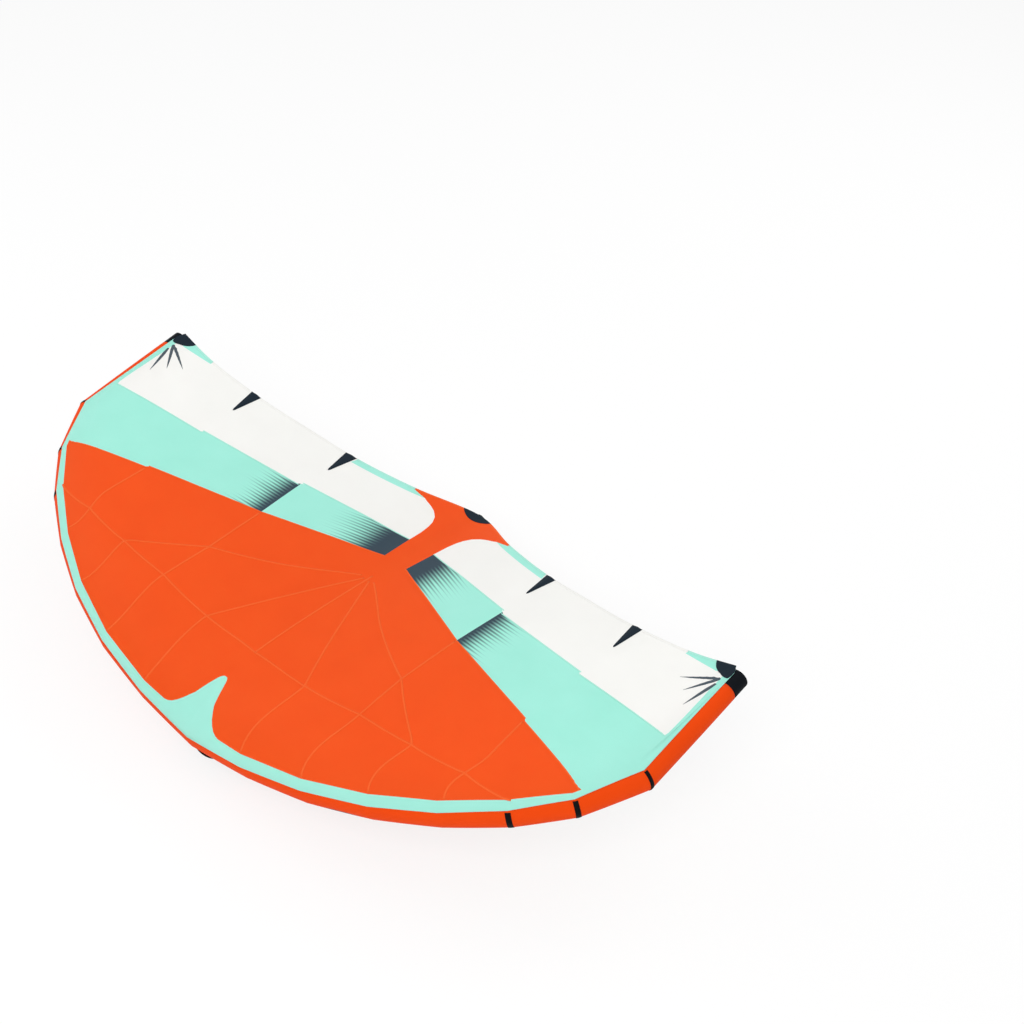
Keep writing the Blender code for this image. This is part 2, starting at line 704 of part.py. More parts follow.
def make_pocket(kind, word, side, outline, ridge):
    """A batten on the canopy and the pocket sewn over it."""
    seam_line = [outline[0], *ridge]
    pocket = flip(outline, side)
    raised = [(s * side, v) for s, v in ridge]
    cloth(f"batten_pocket_{kind}_{word}", pocket, "patch", [flip(seam_line, side)], CLOTH + GAP, raised)
    height = CLOTH / 2 + GAP + BATTEN_THICKNESS / 2
    (nose, depth), (middle, tail) = outline[0], ridge[-1]
    places = [(side * mix(nose, middle, f), mix(depth, tail, f)) for f in BATTEN_SPAN_SHARES]
    points = [canopy_point(*place) for place in places]
    rings = []
    for k, place in enumerate(places):
        up = canopy_up(*place)
        run = unit(points[min(k + 1, len(points) - 1)] - points[max(k - 1, 0)])
        across = unit(np.cross(run, up)) * BATTEN_WIDTH / 2
        rise = up * BATTEN_THICKNESS / 2
        centre = points[k] + up * height
        rings.append([centre - across - rise, centre + across - rise,
                      centre + across + rise, centre - across + rise])
    finish_mesh(f"batten_{kind}_{word}", skin(rings, True, True), "batten")


def turned(name, profile, finish, frame, steps=TURN_STEPS):
    """A profile of (radius, height) points turned about the frame's Z axis."""
    mesh_data = bmesh.new()
    verts = [mesh_data.verts.new((radius, 0, height)) for radius, height in profile]
    for a, b in zip(verts, verts[1:]):
        mesh_data.edges.new((a, b))
    if profile[0][0] > 0:
        mesh_data.edges.new((verts[-1], verts[0]))
    mesh = bpy.data.meshes.new(name)
    mesh_data.to_mesh(mesh)
    mesh_data.free()
    part = add_object(name, mesh, finish)
    screw = part.modifiers.new("turn", "SCREW")
    screw.angle = math.tau
    screw.steps = steps
    screw.render_steps = steps
    screw.use_merge_vertices = True
    screw.merge_threshold = MERGE
    screw.use_smooth_shade = True
    part.matrix_world = frame
    return part


def block(name, low, high, finish, frame):
    """A box between two corners, in a frame of its own."""
    low, high = Vector(low), Vector(high)
    mesh_data = bmesh.new()
    bmesh.ops.create_cube(mesh_data, size=1)
    size = high - low
    bmesh.ops.scale(mesh_data, vec=size, verts=mesh_data.verts)
    bmesh.ops.translate(mesh_data, vec=(low + high) / 2, verts=mesh_data.verts)
    part = finish_mesh(name, mesh_data, finish)
    part.matrix_world = frame
    return part


def rod(name, radius, length, finish, frame, sides=24):
    """A cylinder centred on the frame's origin, along its Z axis."""
    mesh_data = bmesh.new()
    bmesh.ops.create_cone(mesh_data, cap_ends=True, segments=sides, radius1=radius,
                          radius2=radius, depth=length)
    part = finish_mesh(name, mesh_data, finish)
    part.matrix_world = frame
    return part


def frame_from(origin, run, normal):
    """A matrix with Z along the normal and X along the run, at the origin."""
    z_axis = Vector(normal).normalized()
    y_axis = z_axis.cross(Vector(run)).normalized()
    x_axis = y_axis.cross(z_axis)
    frame = Matrix((x_axis, y_axis, z_axis)).transposed().to_4x4()
    frame.translation = Vector(origin)
    return frame


def tube_facet(station, degrees):
    """A frame on the flat facet of the tube that holds the angle, Z outwards."""
    low = 360 / TUBE_SIDES * math.floor(degrees * TUBE_SIDES / 360)
    high = low + 360 / TUBE_SIDES
    step = PORT_HALF_STATION / 2
    centre = mix(tube_point(station, low), tube_point(station, high), 0.5)
    before = mix(tube_point(station - step, low), tube_point(station - step, high), 0.5)
    after = mix(tube_point(station + step, low), tube_point(station + step, high), 0.5)
    across = tube_point(station, high) - tube_point(station, low)
    return frame_from(centre, after - before, np.cross(after - before, across))


def make_leading_edge():
    """The two casings, the bladder inside them, the tip caps and the joint bands."""
    near = GAP / SEAM[1][0]
    casing_stations = [near, *range(1, LAST), CAP_STATION]
    for side, word in ((1, "right"), (-1, "left")):
        rings = [tube_ring(side * s) for s in casing_stations]
        casing = finish_mesh(f"le_casing_{word}", skin(rings), "tube")
        thicken(casing, CASING_WALL, -1)
        if side > 0:
            for frame, radius in ((VALVE_FRAME, VALVE_HOLE), (NOSE_PORT_FRAME, PORT_HOLE)):
                cutter = rod("casing_hole", radius, HOLE_DEPTH, "plastic", frame)
                make_cutter(cutter)
                cut(casing, cutter)
        start = CAP_STATION + GAP / TIP_LENGTH
        rings = [tube_ring(side * start), tube_ring(side * LAST)]
        centre, outward, lift, run = FRAMES[LAST]
        for turn in DOME_DEGREES:
            radius = RADII[LAST] * math.cos(math.radians(turn))
            middle = centre + run * CAP_DOME * math.sin(math.radians(turn))
            angles = [math.tau * k / TUBE_SIDES for k in range(TUBE_SIDES)]
            rings.append([mirrored(middle + radius * (math.cos(a) * outward + math.sin(a) * lift), side)
                          for a in angles])
        cap = finish_mesh(f"le_tip_cap_{word}", skin(rings, close_last=True), "webbing")
        thicken(cap, CAP_WALL, -1)
        for station in BAND_STATIONS:
            make_tube_band(f"le_band_{station}_{word}", side, station)
    make_bladder()


def tube_patch(stations, degrees, offset):
    """Rows of points on the tube, for a strip that lies on it."""
    return [[tube_point(s, d, offset) for d in degrees] for s in stations]


def facet_degrees(first, last):
    """Falling angles from first to last that keep to the tube's corners."""
    side = 360 / TUBE_SIDES
    corners = [side * k for k in range(-TUBE_SIDES, TUBE_SIDES)]
    kept = [c for c in corners if last + CORNER_DEGREES < c < first - CORNER_DEGREES]
    return [first, *reversed(kept), last]


def make_tube_band(name, side, station):
    """A reinforcing band round the underside of one mitred joint."""
    length = np.linalg.norm(SEAM[station + 1] - SEAM[station])
    half = BAND_WIDTH / 2 / length
    first = SEAM_DEGREES[station] - BAND_EDGE_DEGREES
    degrees = facet_degrees(first, BAND_REAR_DEGREES - 360)
    rows = tube_patch([side * (station + k * half) for k in (-1, 0, 1)], degrees, GAP)
    lay_on_tube(name, rows, BAND_WALL, "webbing")


def lay_on_tube(name, rows, wall, finish):
    """A strip thickened away from the tube that it lies on."""
    mesh_data = skin(rows, wrap=False)
    mesh_data.normal_update()
    middle = rows[0][len(rows[0]) // 2]
    axis = np.mean([np.mean(row, axis=0) for row in rows], axis=0)
    face = min(mesh_data.faces, key=lambda f: (f.calc_center_median() - Vector(middle)).length)
    if face.normal.dot(Vector(middle - axis)) < 0:
        bmesh.ops.reverse_faces(mesh_data, faces=mesh_data.faces[:])
    part = finish_mesh(name, mesh_data, finish, outward=False)
    thicken(part, wall, 1)
    return part


def make_bladder():
    """The airtight tube inside both casings, open only at the valve's port."""
    ends = [-BLADDER_END, *range(-LAST + 1, 1), VALVE_STATION - PORT_HALF_STATION,
            VALVE_STATION + PORT_HALF_STATION, *range(2, LAST), BLADDER_END]
    turn = 360 / BLADDER_SIDES
    first = VALVE_DEGREES % turn - turn / 2
    rings = []
    for station in ends:
        drop = at_station(RADII, station) * (1 - math.cos(math.pi / TUBE_SIDES))
        offset = -(CASING_WALL + BLADDER_ROOM + drop)
        rings.append([tube_point(station, first + turn * k, offset) for k in range(BLADDER_SIDES)])
    side = int((VALVE_DEGREES - first) // turn)
    port = (ends.index(VALVE_STATION - PORT_HALF_STATION), side)
    bladder = finish_mesh("le_bladder", skin(rings, True, True, port=port), "bladder")
    thicken(bladder, BLADDER_WALL, -1)


def strut_rows():
    """Distance back, belly height and radius of the strut at its stations."""
    rows = []
    for back, belly, radius in zip(STRUT_FRONT_Y_SHARES, STRUT_FRONT_BELLY_SHARES,
                                   STRUT_FRONT_RADIUS_SHARES):
        rows.append((back * CENTRE_CHORD, -belly * STRUT_DEPTH, radius * STRUT_RADIUS))
    room = CLOTH / 2 + GAP + STRUT_SEAT
    for share, belly in zip(STRUT_REAR_SHARES, STRUT_REAR_BELLY_SHARES):
        low = -belly * STRUT_DEPTH
        rows.append((share * CENTRE_CHORD, low, (canopy_point(0, share)[2] - room - low) / 2))
    low = rows[-1][1]
    tail = (canopy_point(0, 1)[2] - room - low) / 2
    rows.append((CENTRE_CHORD, low, tail))
    rows.append((STRUT_REAR_SHARES[-1] * CENTRE_CHORD + STRUT_CAP_LENGTH, low, tail))
    return rows


STRUT_ROWS = strut_rows()
STRUT_CASING_END = STRUT_REAR_SHARES[-1] * CENTRE_CHORD


def strut_section(back):
    """Belly height and radius of the strut at a distance back."""
    places = [row[0] for row in STRUT_ROWS]
    return [float(np.interp(back, places, [row[k] for row in STRUT_ROWS])) for k in (1, 2)]


def strut_point(back, degrees, offset=0.0):
    """A point on the strut, offset outwards from its surface; 0 degrees is to the right."""
    belly, radius = strut_section(back)
    angle = math.radians(degrees)
    reach = radius + offset
    return np.array([reach * math.cos(angle), back, belly + radius + reach * math.sin(angle)])


def strut_ring(back, offset=0.0, sides=STRUT_SIDES):
    """One ring of the strut's faceted section."""
    return [strut_point(back, 360 * k / sides, offset) for k in range(sides)]


def strut_facet(back, degrees):
    """A frame on the flat facet of the strut that holds the angle, Z outwards."""
    low = 360 / STRUT_SIDES * math.floor(degrees * STRUT_SIDES / 360)
    high = low + 360 / STRUT_SIDES
    step = STRUT_BAND_WIDTH / 2
    centre = mix(strut_point(back, low), strut_point(back, high), 0.5)
    before = mix(strut_point(back - step, low), strut_point(back - step, high), 0.5)
    after = mix(strut_point(back + step, low), strut_point(back + step, high), 0.5)
    across = strut_point(back, high) - strut_point(back, low)
    return frame_from(centre, after - before, np.cross(after - before, across))


def make_strut():
    """The strut's casing, bladder, end cap, bands and the web that ties it to the canopy."""
    backs = [row[0] for row in STRUT_ROWS if row[0] <= STRUT_CASING_END + GAP]
    casing = finish_mesh("strut_casing", skin([strut_ring(b) for b in backs]), "tube")
    thicken(casing, CASING_WALL, -1)
    saddle = finish_mesh("strut_saddle", skin([tube_ring(s, GAP) for s in range(-2, 3)], True, True),
                         "tube")
    make_cutter(saddle)
    cut(casing, saddle)
    hole = rod("strut_hole", PORT_HOLE, HOLE_DEPTH, "plastic", STRUT_PORT_FRAME)
    make_cutter(hole)
    cut(casing, hole)
    start = STRUT_CASING_END + GAP
    rings = [strut_ring(b) for b in (start, *[row[0] for row in STRUT_ROWS[-2:]])]
    back, belly, radius = STRUT_ROWS[-1]
    for turn in DOME_DEGREES:
        angle = math.radians(turn)
        shrink = radius * (math.cos(angle) - 1)
        shift = np.array([0, STRUT_CAP_DOME * math.sin(angle), 0])
        rings.append([strut_point(back, 360 * k / STRUT_SIDES, shrink) + shift
                      for k in range(STRUT_SIDES)])
    cap = finish_mesh("strut_end_cap", skin(rings, close_last=True), "webbing")
    thicken(cap, CAP_WALL, -1)
    inner = -(CASING_WALL + BLADDER_ROOM)
    clear = STRUT_BLADDER_START + STRUT_BLADDER_RING_ROOM
    backs = [STRUT_BLADDER_START, *[b for b in backs if clear < b < STRUT_CASING_END],
             STRUT_CASING_END - BLADDER_ROOM]
    rings = [strut_ring(b, inner, STRUT_SIDES // 2) for b in backs]
    number = sum(b < HOSE_STRUT_Y_SHARE * CENTRE_CHORD for b in backs) - 1
    bladder = finish_mesh("strut_bladder", skin(rings, True, True, port=(number, 0)), "bladder")
    thicken(bladder, BLADDER_WALL, -1)
    for number, back in enumerate(STRUT_BAND_BACKS, 1):
        make_strut_band(f"strut_band_{number}", back)
    make_web()


def make_strut_band(name, back):
    """A webbing band sewn round the strut, open at the top under the canopy."""
    side = 360 / STRUT_SIDES
    first = 90 - STRUT_BAND_OPEN_DEGREES
    last = first - 360 + 2 * STRUT_BAND_OPEN_DEGREES
    corners = [side * k for k in range(-STRUT_SIDES, STRUT_SIDES)]
    kept = [c for c in reversed(corners) if last + CORNER_DEGREES < c < first - CORNER_DEGREES]
    rows = [[strut_point(back + k * STRUT_BAND_WIDTH / 2, d, GAP) for d in (first, *kept, last)]
            for k in (-1, 1)]
    lay_on_tube(name, rows, BAND_WALL, "webbing")


def make_web():
    """The upright cloth between the strut's top and the canopy."""
    room = CLOTH / 2 + GAP
    shares = [v for v in CENTRE_SHARES if v < WEB_REAR_SHARE] + [WEB_REAR_SHARE]
    top = [canopy_point(0, v) - canopy_up(0, v) * room for v in shares]
    low, high = WEB_FRONT_DEGREES[-1], WEB_FRONT_DEGREES[-1] + 360 / TUBE_SIDES
    for _ in range(WEB_CORNER_STEPS):
        middle = mix(low, high, 0.5)
        corner = tube_point(0, middle, GAP)
        if corner[2] > strut_point(corner[1], 90, GAP)[2]:
            low = middle
        else:
            high = middle
    front = [tube_point(0, d, GAP) for d in (*WEB_FRONT_DEGREES, low)]
    top = [p for p in top if p[1] > front[0][1] + GAP]
    strut = [strut_point(row[0], 90, GAP) for row in STRUT_ROWS
             if front[-1][1] + WEB_WALL < row[0] < WEB_REAR_SHARE * CENTRE_CHORD]
    last = strut_point(WEB_REAR_SHARE * CENTRE_CHORD, 90, GAP)
    outline = top + [last] + list(reversed(strut)) + list(reversed(front))
    mesh_data = bmesh.new()
    mesh_data.faces.new([mesh_data.verts.new(Vector(p)) for p in outline])
    bmesh.ops.triangulate(mesh_data, faces=mesh_data.faces[:])
    web = finish_mesh("strut_web", mesh_data, "cloth_orange", outward=False)
    thicken(web, WEB_WALL, 0)


def section(centre, across, rise, half_width, half_depth, squareness):
    """A rounded section: squareness 1 is an ellipse, and less is boxier."""
    points = []
    for k in range(SECTION_SIDES):
        angle = math.tau * (k + 0.5) / SECTION_SIDES
        c, s = math.cos(angle), math.sin(angle)
        wide = math.copysign(abs(c) ** squareness, c) * half_width
        deep = math.copysign(abs(s) ** squareness, s) * half_depth
        points.append(centre + across * wide + rise * deep)
    return points


def make_handle(name, start, end, down, sag, width, thickness):
    """A padded handle that sags between two pins, each in its keeper."""
    run = unit(end - start)
    across = unit(np.cross(run, down))
    down = np.cross(across, run)
    half = KEEPER_LENGTH / 2 + HEAD_PLAY
    rings = []
    for reach, radius in ((-half - HEAD_LENGTH, HEAD_RADIUS), (-half, HEAD_RADIUS),
                          (-half, PIN_RADIUS), (half, PIN_RADIUS)):
        rings.append(section(start + run * reach, across, down, radius, radius, 1))
    first = start + run * (half + PIN_RADIUS)
    last = end - run * (half + PIN_RADIUS)
    span = np.linalg.norm(last - first)
    for f, wide, deep in HANDLE_FORM_SHARES:
        slope = unit(run * span + down * sag * 4 * (1 - 2 * f))
        rise = unit(np.cross(slope, across)) * -1
        centre = mix(first, last, f) + down * sag * 4 * f * (1 - f)
        rings.append(section(centre, across, rise, wide * width / 2, deep * thickness / 2, GRIP_SQUARENESS))
    for reach, radius in ((-half, PIN_RADIUS), (half, PIN_RADIUS), (half, HEAD_RADIUS),
                          (half + HEAD_LENGTH, HEAD_RADIUS)):
        rings.append(section(end + run * reach, across, down, radius, radius, 1))
    part = finish_mesh(name, skin(rings, True, True), "webbing")
    middle = mix(start, end, 0.5)
    part.data.transform(Matrix.Translation(-Vector(middle)))
    part.location = Vector(middle)
    return part


def make_keeper(name, centre, run):
    """The short webbing loop that a handle's pin turns in."""
    side = unit(np.cross(run, np.array([0.0, 0.0, 1.0])))
    up = np.cross(side, run)
    rings = []
    for reach, radius in ((-1, KEEPER_RADIUS), (1, KEEPER_RADIUS), (1, PIN_RADIUS + PIN_PLAY),
                          (-1, PIN_RADIUS + PIN_PLAY)):
        middle = centre + run * reach * KEEPER_LENGTH / 2
        angles = [math.tau * k / KEEPER_SIDES for k in range(KEEPER_SIDES)]
        rings.append([middle + radius * (math.cos(a) * side + math.sin(a) * up) for a in angles])
    finish_mesh(name, skin(rings, loop=True), "webbing")


def strut_keeper_centre(back, other):
    """The centre of the keeper under a strut band, low enough to clear the belly's slope."""
    half = KEEPER_LENGTH / 2
    belly = (strut_point(back + half, -90) - strut_point(back - half, -90))[2]
    pin = strut_point(other, -90) - strut_point(back, -90)
    tilt = abs(belly - KEEPER_LENGTH * pin[2] / pin[1]) / 2
    return strut_point(back, -90, GAP + BAND_WALL + GAP + KEEPER_RADIUS + tilt)


def make_strut_handles():
    """The two handles under the strut with their four keepers."""
    pairs = list(zip(STRUT_BAND_BACKS[::2], STRUT_BAND_BACKS[1::2]))
    centres = []
    for fore, aft in pairs:
        centres += [strut_keeper_centre(fore, aft), strut_keeper_centre(aft, fore)]
    down = np.array([0.0, 0.0, -1.0])
    for number, (name, sag) in enumerate((("front_handle", FRONT_HANDLE_SAG), ("rear_handle", REAR_HANDLE_SAG))):
        start, end = centres[2 * number], centres[2 * number + 1]
        make_handle(name, start, end, down, sag, HANDLE_WIDTH, HANDLE_THICKNESS)
        for k, centre in enumerate((start, end)):
            make_keeper(f"handle_keeper_{2 * number + k + 1}", centre, unit(end - start))
        JOINTS[name] = (mix(start, end, 0.5), unit(end - start))


def nose_centre():
    """The centre of the right keeper under the nose."""
    station = NOSE_KEEPER_X / SEAM[1][0]
    drop = GAP + TAB_WALL + GAP + KEEPER_RADIUS + NOSE_KEEPER_ROOM
    point = tube_point(station, NOSE_KEEPER_DEGREES, drop)
    return point * np.array([0, 1, 1]) + np.array([NOSE_KEEPER_X, 0, 0])


def make_nose():
    """The grip pad, the tabs, the keepers and the handle under the nose."""
    pad_stations = [k * PAD_HALF_WIDTH / SEAM[1][0] for k in PAD_ROW_SHARES]
    first = PAD_FRONT_DEGREES
    rows = []
    for station in pad_stations:
        share = abs(station) / pad_stations[-1]
        last = mix(PAD_REAR_DEGREES, PAD_END_REAR_DEGREES, share ** PAD_CURVE)
        degrees = [mix(first, last, k / PAD_STEPS) for k in range(PAD_STEPS + 1)]
        rows.append([tube_point(station, d, GAP + PAD_ROOM) for d in degrees])
    pad = lay_on_tube("nose_pad", rows, PAD_WALL, "plastic")
    backs = [row[0] for row in STRUT_ROWS if row[0] < 2 * NOSE_RADIUS]
    notch = finish_mesh("pad_notch", skin([strut_ring(b, PAD_ROOM) for b in backs], True, True), "plastic")
    make_cutter(notch)
    cut(pad, notch)
    centre = nose_centre()
    run = np.array([1.0, 0.0, 0.0])
    for side, word in ((1, "right"), (-1, "left")):
        half = TAB_WIDTH / 2
        stations = [side * (NOSE_KEEPER_X + k * half) / SEAM[1][0] for k in (-1, 1)]
        degrees = facet_degrees(TAB_FRONT_DEGREES, TAB_REAR_DEGREES)
        lay_on_tube(f"nose_tab_{word}", tube_patch(stations, degrees, GAP), TAB_WALL, "webbing")
        make_keeper(f"nose_keeper_{word}", centre * np.array([side, 1, 1]), run)
    angle = math.radians(NOSE_HANGING_DEGREES)
    down = np.array([0, -math.cos(angle), math.sin(angle)])
    make_handle("nose_handle", centre * np.array([-1, 1, 1]), centre, down, NOSE_HANDLE_SAG,
                NOSE_HANDLE_WIDTH, NOSE_HANDLE_THICKNESS)
    JOINTS["nose_handle"] = (centre * np.array([0, 1, 1]), run)


def local(x, y, z, turned_to_y=False):
    """A frame at a point of the valve's own frame; Z can be turned to lie along Y."""
    frame = VALVE_FRAME @ Matrix.Translation((x, y, z))
    if turned_to_y:
        frame = frame @ Matrix.Rotation(math.pi / 2, 4, "X")
    return frame


def move_origin(part, frame):
    """Settle a part's modifiers and put its origin on its joint's axis."""
    bpy.context.view_layer.update()
    seen = part.evaluated_get(bpy.context.evaluated_depsgraph_get())
    mesh = bpy.data.meshes.new_from_object(seen)
    mesh.transform(frame.inverted() @ part.matrix_world)
    part.modifiers.clear()
    part.data = mesh
    part.matrix_world = frame


def make_valve():
    """The valve body in the casing, its hinged cap and the cap's pin."""
    seat = VALVE_FRAME @ Matrix.Translation((0, 0, GAP))
    insert = VALVE_HOLE - FACET_ROOM
    body = turned("valve_body", [
        (VALVE_NECK, VALVE_HEIGHT), (VALVE_NECK, VALVE_FLANGE_WALL), (VALVE_FLANGE, VALVE_FLANGE_WALL),
        (VALVE_FLANGE, 0), (insert, 0), (insert, -VALVE_SINK), (VALVE_BORE, -VALVE_SINK),
        (VALVE_BORE, VALVE_HEIGHT)], "plastic", seat)
    lid_low = GAP + VALVE_HEIGHT + GAP
    axis_height = lid_low + CAP_LID_WALL / 2
    knuckle = HINGE_KNUCKLE / 2
    ear = knuckle + GAP + HINGE_EAR
    for number, side in enumerate((1, -1)):
        near, far = sorted((side * (knuckle + GAP), side * ear))
        post = block(f"ear_{number}", (-HINGE_REACH - HINGE_RADIUS, near, GAP),
                     (-HINGE_REACH + HINGE_RADIUS, far, axis_height + HINGE_RADIUS), "plastic", local(0, 0, 0))
        make_cutter(post)
        cut(body, post, "UNION")
    plug = VALVE_BORE - FACET_ROOM
    cap = turned("valve_cap", [
        (0, lid_low + CAP_LID_WALL), (CAP_LID, lid_low + CAP_LID_WALL), (CAP_LID, lid_low),
        (plug, lid_low), (plug - PLUG_DRAFT, lid_low - CAP_PLUG_DEPTH), (0, lid_low - CAP_PLUG_DEPTH)],
        "plastic", VALVE_FRAME)
    arm = block("cap_arm", (-HINGE_REACH, -knuckle, lid_low), (-CAP_LID / 2, knuckle, lid_low + CAP_LID_WALL),
                "plastic", VALVE_FRAME)
    make_cutter(arm)
    cut(cap, arm, "UNION")
    barrel = rod("cap_barrel", HINGE_RADIUS, HINGE_KNUCKLE, "plastic", local(-HINGE_REACH, 0, axis_height, True))
    make_cutter(barrel)
    cut(cap, barrel, "UNION")
    hole = rod("hinge_hole", HINGE_PIN + GAP, 4 * ear, "plastic", local(-HINGE_REACH, 0, axis_height, True), 16)
    make_cutter(hole)
    cut(cap, hole)
    cut(body, hole)
    rod("valve_cap_pin", HINGE_PIN, 2 * ear, "plastic", local(-HINGE_REACH, 0, axis_height, True), 12)
    axis = local(-HINGE_REACH, 0, axis_height)
    move_origin(cap, axis)
    JOINTS["valve_cap"] = (np.array(axis.translation), -np.array(axis.to_3x3().col[1]))


def make_hose():
    """The hose that fills the strut from the leading edge, with a port at each end."""
    tips = []
    for name, frame in (("hose_port_nose", NOSE_PORT_FRAME), ("hose_port_strut", STRUT_PORT_FRAME)):
        seat = frame @ Matrix.Translation((0, 0, GAP))
        neck = HOSE_RADIUS - PORT_WALL
        insert = PORT_HOLE - FACET_ROOM
        turned(name, [
            (neck, PORT_HEIGHT), (neck, PORT_WALL), (PORT_RADIUS, PORT_WALL), (PORT_RADIUS, 0),
            (insert, 0), (insert, -CASING_WALL - GAP), (PORT_BORE, -CASING_WALL - GAP),
            (PORT_BORE, PORT_HEIGHT)], "plastic", seat, 16)
        tips.append((frame @ Matrix.Translation((0, 0, GAP + PORT_HEIGHT + GAP))))
    start, end = (np.array(tip.translation) for tip in tips)
    leave, arrive = (np.array(tip.to_3x3().col[2]) * HOSE_DRAW for tip in tips)
    route = [start]
    end_stub = np.array(tips[1].to_3x3().col[2]) * HOSE_STUB
    start_stub = np.array(tips[0].to_3x3().col[2]) * HOSE_STUB
    first, last = start, end
    start, end = start + start_stub, end + end_stub
    for k in range(HOSE_POINTS + 1):
        f = k / HOSE_POINTS
        route.append((1 - f) ** 3 * start + 3 * f * (1 - f) ** 2 * (start + leave)
                     + 3 * f ** 2 * (1 - f) * (end + arrive) + f ** 3 * end)
    route.append(last)
    curve = bpy.data.curves.new("pump_hose", "CURVE")
    curve.dimensions = "3D"
    curve.bevel_depth = HOSE_RADIUS
    curve.bevel_resolution = 2
    curve.use_fill_caps = True
    spline = curve.splines.new("POLY")
    spline.points.add(len(route) - 1)
    for spot, place in zip(spline.points, route):
        spot.co = (*place, 1)
    add_object("pump_hose", curve, "plastic")


def centre_on_floor():
    """Move the whole wing so that the origin is the middle of its box's underside."""
    bpy.context.view_layer.update()
    graph = bpy.context.evaluated_depsgraph_get()
    corners = []
    for part in PARTS.objects:
        seen = part.evaluated_get(graph)
        corners += [seen.matrix_world @ vert.co for vert in seen.to_mesh().vertices]
        seen.to_mesh_clear()
    low = Vector(min(corner[k] for corner in corners) for k in range(3))
    high = Vector(max(corner[k] for corner in corners) for k in range(3))
    shift = Vector((-(low.x + high.x) / 2, -(low.y + high.y) / 2, -low.z))
    for thing in [*PARTS.objects, *CUTTERS.objects]:
        thing.matrix_world = Matrix.Translation(shift) @ thing.matrix_world
    for name, (point, axis) in JOINTS.items():
        spot = Vector(point) + shift
        print("joint", name, [round(c, 5) for c in spot], [round(c, 5) for c in axis])


TIP_LENGTH = np.linalg.norm(SEAM[LAST] - SEAM[LAST - 1])
CAP_STATION = LAST - CAP_LENGTH / TIP_LENGTH
BLADDER_END = CAP_STATION - BLADDER_ROOM
STRUT_BAND_BACKS = [share * CENTRE_CHORD for share in STRUT_BAND_Y_SHARES]
STRUT_BLADDER_START = STRUT_BLADDER_START_SHARE * CENTRE_CHORD
VALVE_FRAME = tube_facet(VALVE_STATION, VALVE_DEGREES)
NOSE_PORT_FRAME = tube_facet(HOSE_STATION, HOSE_DEGREES)
STRUT_PORT_FRAME = strut_facet(HOSE_STRUT_Y_SHARE * CENTRE_CHORD, HOSE_STRUT_DEGREES)
JOINTS = {}

make_leading_edge()
make_strut()
make_strut_handles()
make_nose()
make_canopy()
make_valve()
make_hose()
centre_on_floor()
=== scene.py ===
"""Looks of an inflatable wingfoil wing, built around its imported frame.

The file follows the wing as a loft makes it: the two leading-edge casings and what is
sewn to them, the strut, the canopy with its seams and patches, the grips, then the
valve and hose. Stations count the mitred joints of the leading edge from the nose, 0,
to a tip, 8, and are negative on the left. Shares run along the canopy from its front
seam, 0, to its tail, 1.
"""
import math

import bmesh
import bpy
import numpy as np
from mathutils import Matrix, Vector


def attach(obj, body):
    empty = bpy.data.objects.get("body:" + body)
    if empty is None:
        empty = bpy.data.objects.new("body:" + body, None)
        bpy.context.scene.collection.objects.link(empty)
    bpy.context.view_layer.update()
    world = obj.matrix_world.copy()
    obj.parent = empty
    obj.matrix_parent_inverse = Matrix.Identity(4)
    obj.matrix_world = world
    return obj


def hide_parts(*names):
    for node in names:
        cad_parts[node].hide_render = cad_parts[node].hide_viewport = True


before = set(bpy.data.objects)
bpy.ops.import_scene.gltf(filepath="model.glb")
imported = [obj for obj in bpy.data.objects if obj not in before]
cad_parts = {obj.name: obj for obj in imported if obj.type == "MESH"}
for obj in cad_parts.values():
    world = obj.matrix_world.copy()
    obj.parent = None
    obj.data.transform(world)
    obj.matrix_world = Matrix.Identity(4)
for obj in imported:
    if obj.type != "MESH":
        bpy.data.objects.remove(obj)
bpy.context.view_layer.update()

# Leading edge casings
# Two tapered tubes of coated woven polyester, orange, sewn from straight lengths with a
# mitre at each station. Air pressure swells every length a little between its joints and
# leaves fine puckers beside the stitching.
HALF_SPAN = 1.635
CENTRE_CHORD = 1.796
TIP_RISE = 0.426
NOSE_SEAM = np.array([0.0, -0.90853, 0.21878])
SEAM_X_SHARES = (0.0, 0.183, 0.363, 0.531, 0.680, 0.812, 0.919, 1.0, 1.003)
SEAM_Y_SHARES = (0.0, 0.009, 0.036, 0.086, 0.155, 0.239, 0.338, 0.476, 0.807)
SEAM_Z_SHARES = (0.0, 0.100, 0.230, 0.355, 0.478, 0.604, 0.716, 0.834, 1.0)
SEAM_DEGREES = (5.0, 7.0, 14.0, 21.0, 30.0, 41.0, 56.0, 78.0, 99.0)
NOSE_RADIUS = 0.130
TUBE_RADIUS_SHARES = (1.0, 0.945, 0.845, 0.757, 0.680, 0.608, 0.520, 0.447, 0.338)
CAP_LENGTH = 0.082
CASING_WALL = 0.0010
CASING_SWELL = 0.0011
PUCKER_DEPTH = 0.0009
PUCKER_REACH = 0.016
PUCKERS = 31
TUBE_STEPS = 18
TUBE_SIDES = 96
DACRON_ORANGE = "F04A0C"
DACRON_SHADE = "DC410A"
CRINKLE = 0.0004
GLOW_DEPTH = 0.002
LAST = 8
SIZES = np.array([HALF_SPAN, CENTRE_CHORD, TIP_RISE])
SEAM = np.array([SEAM_X_SHARES, SEAM_Y_SHARES, SEAM_Z_SHARES]).T * SIZES
RADII = NOSE_RADIUS * np.array(TUBE_RADIUS_SHARES)


def unit(vectors):
    """Vectors at length one."""
    return vectors / np.linalg.norm(vectors, axis=-1, keepdims=True)


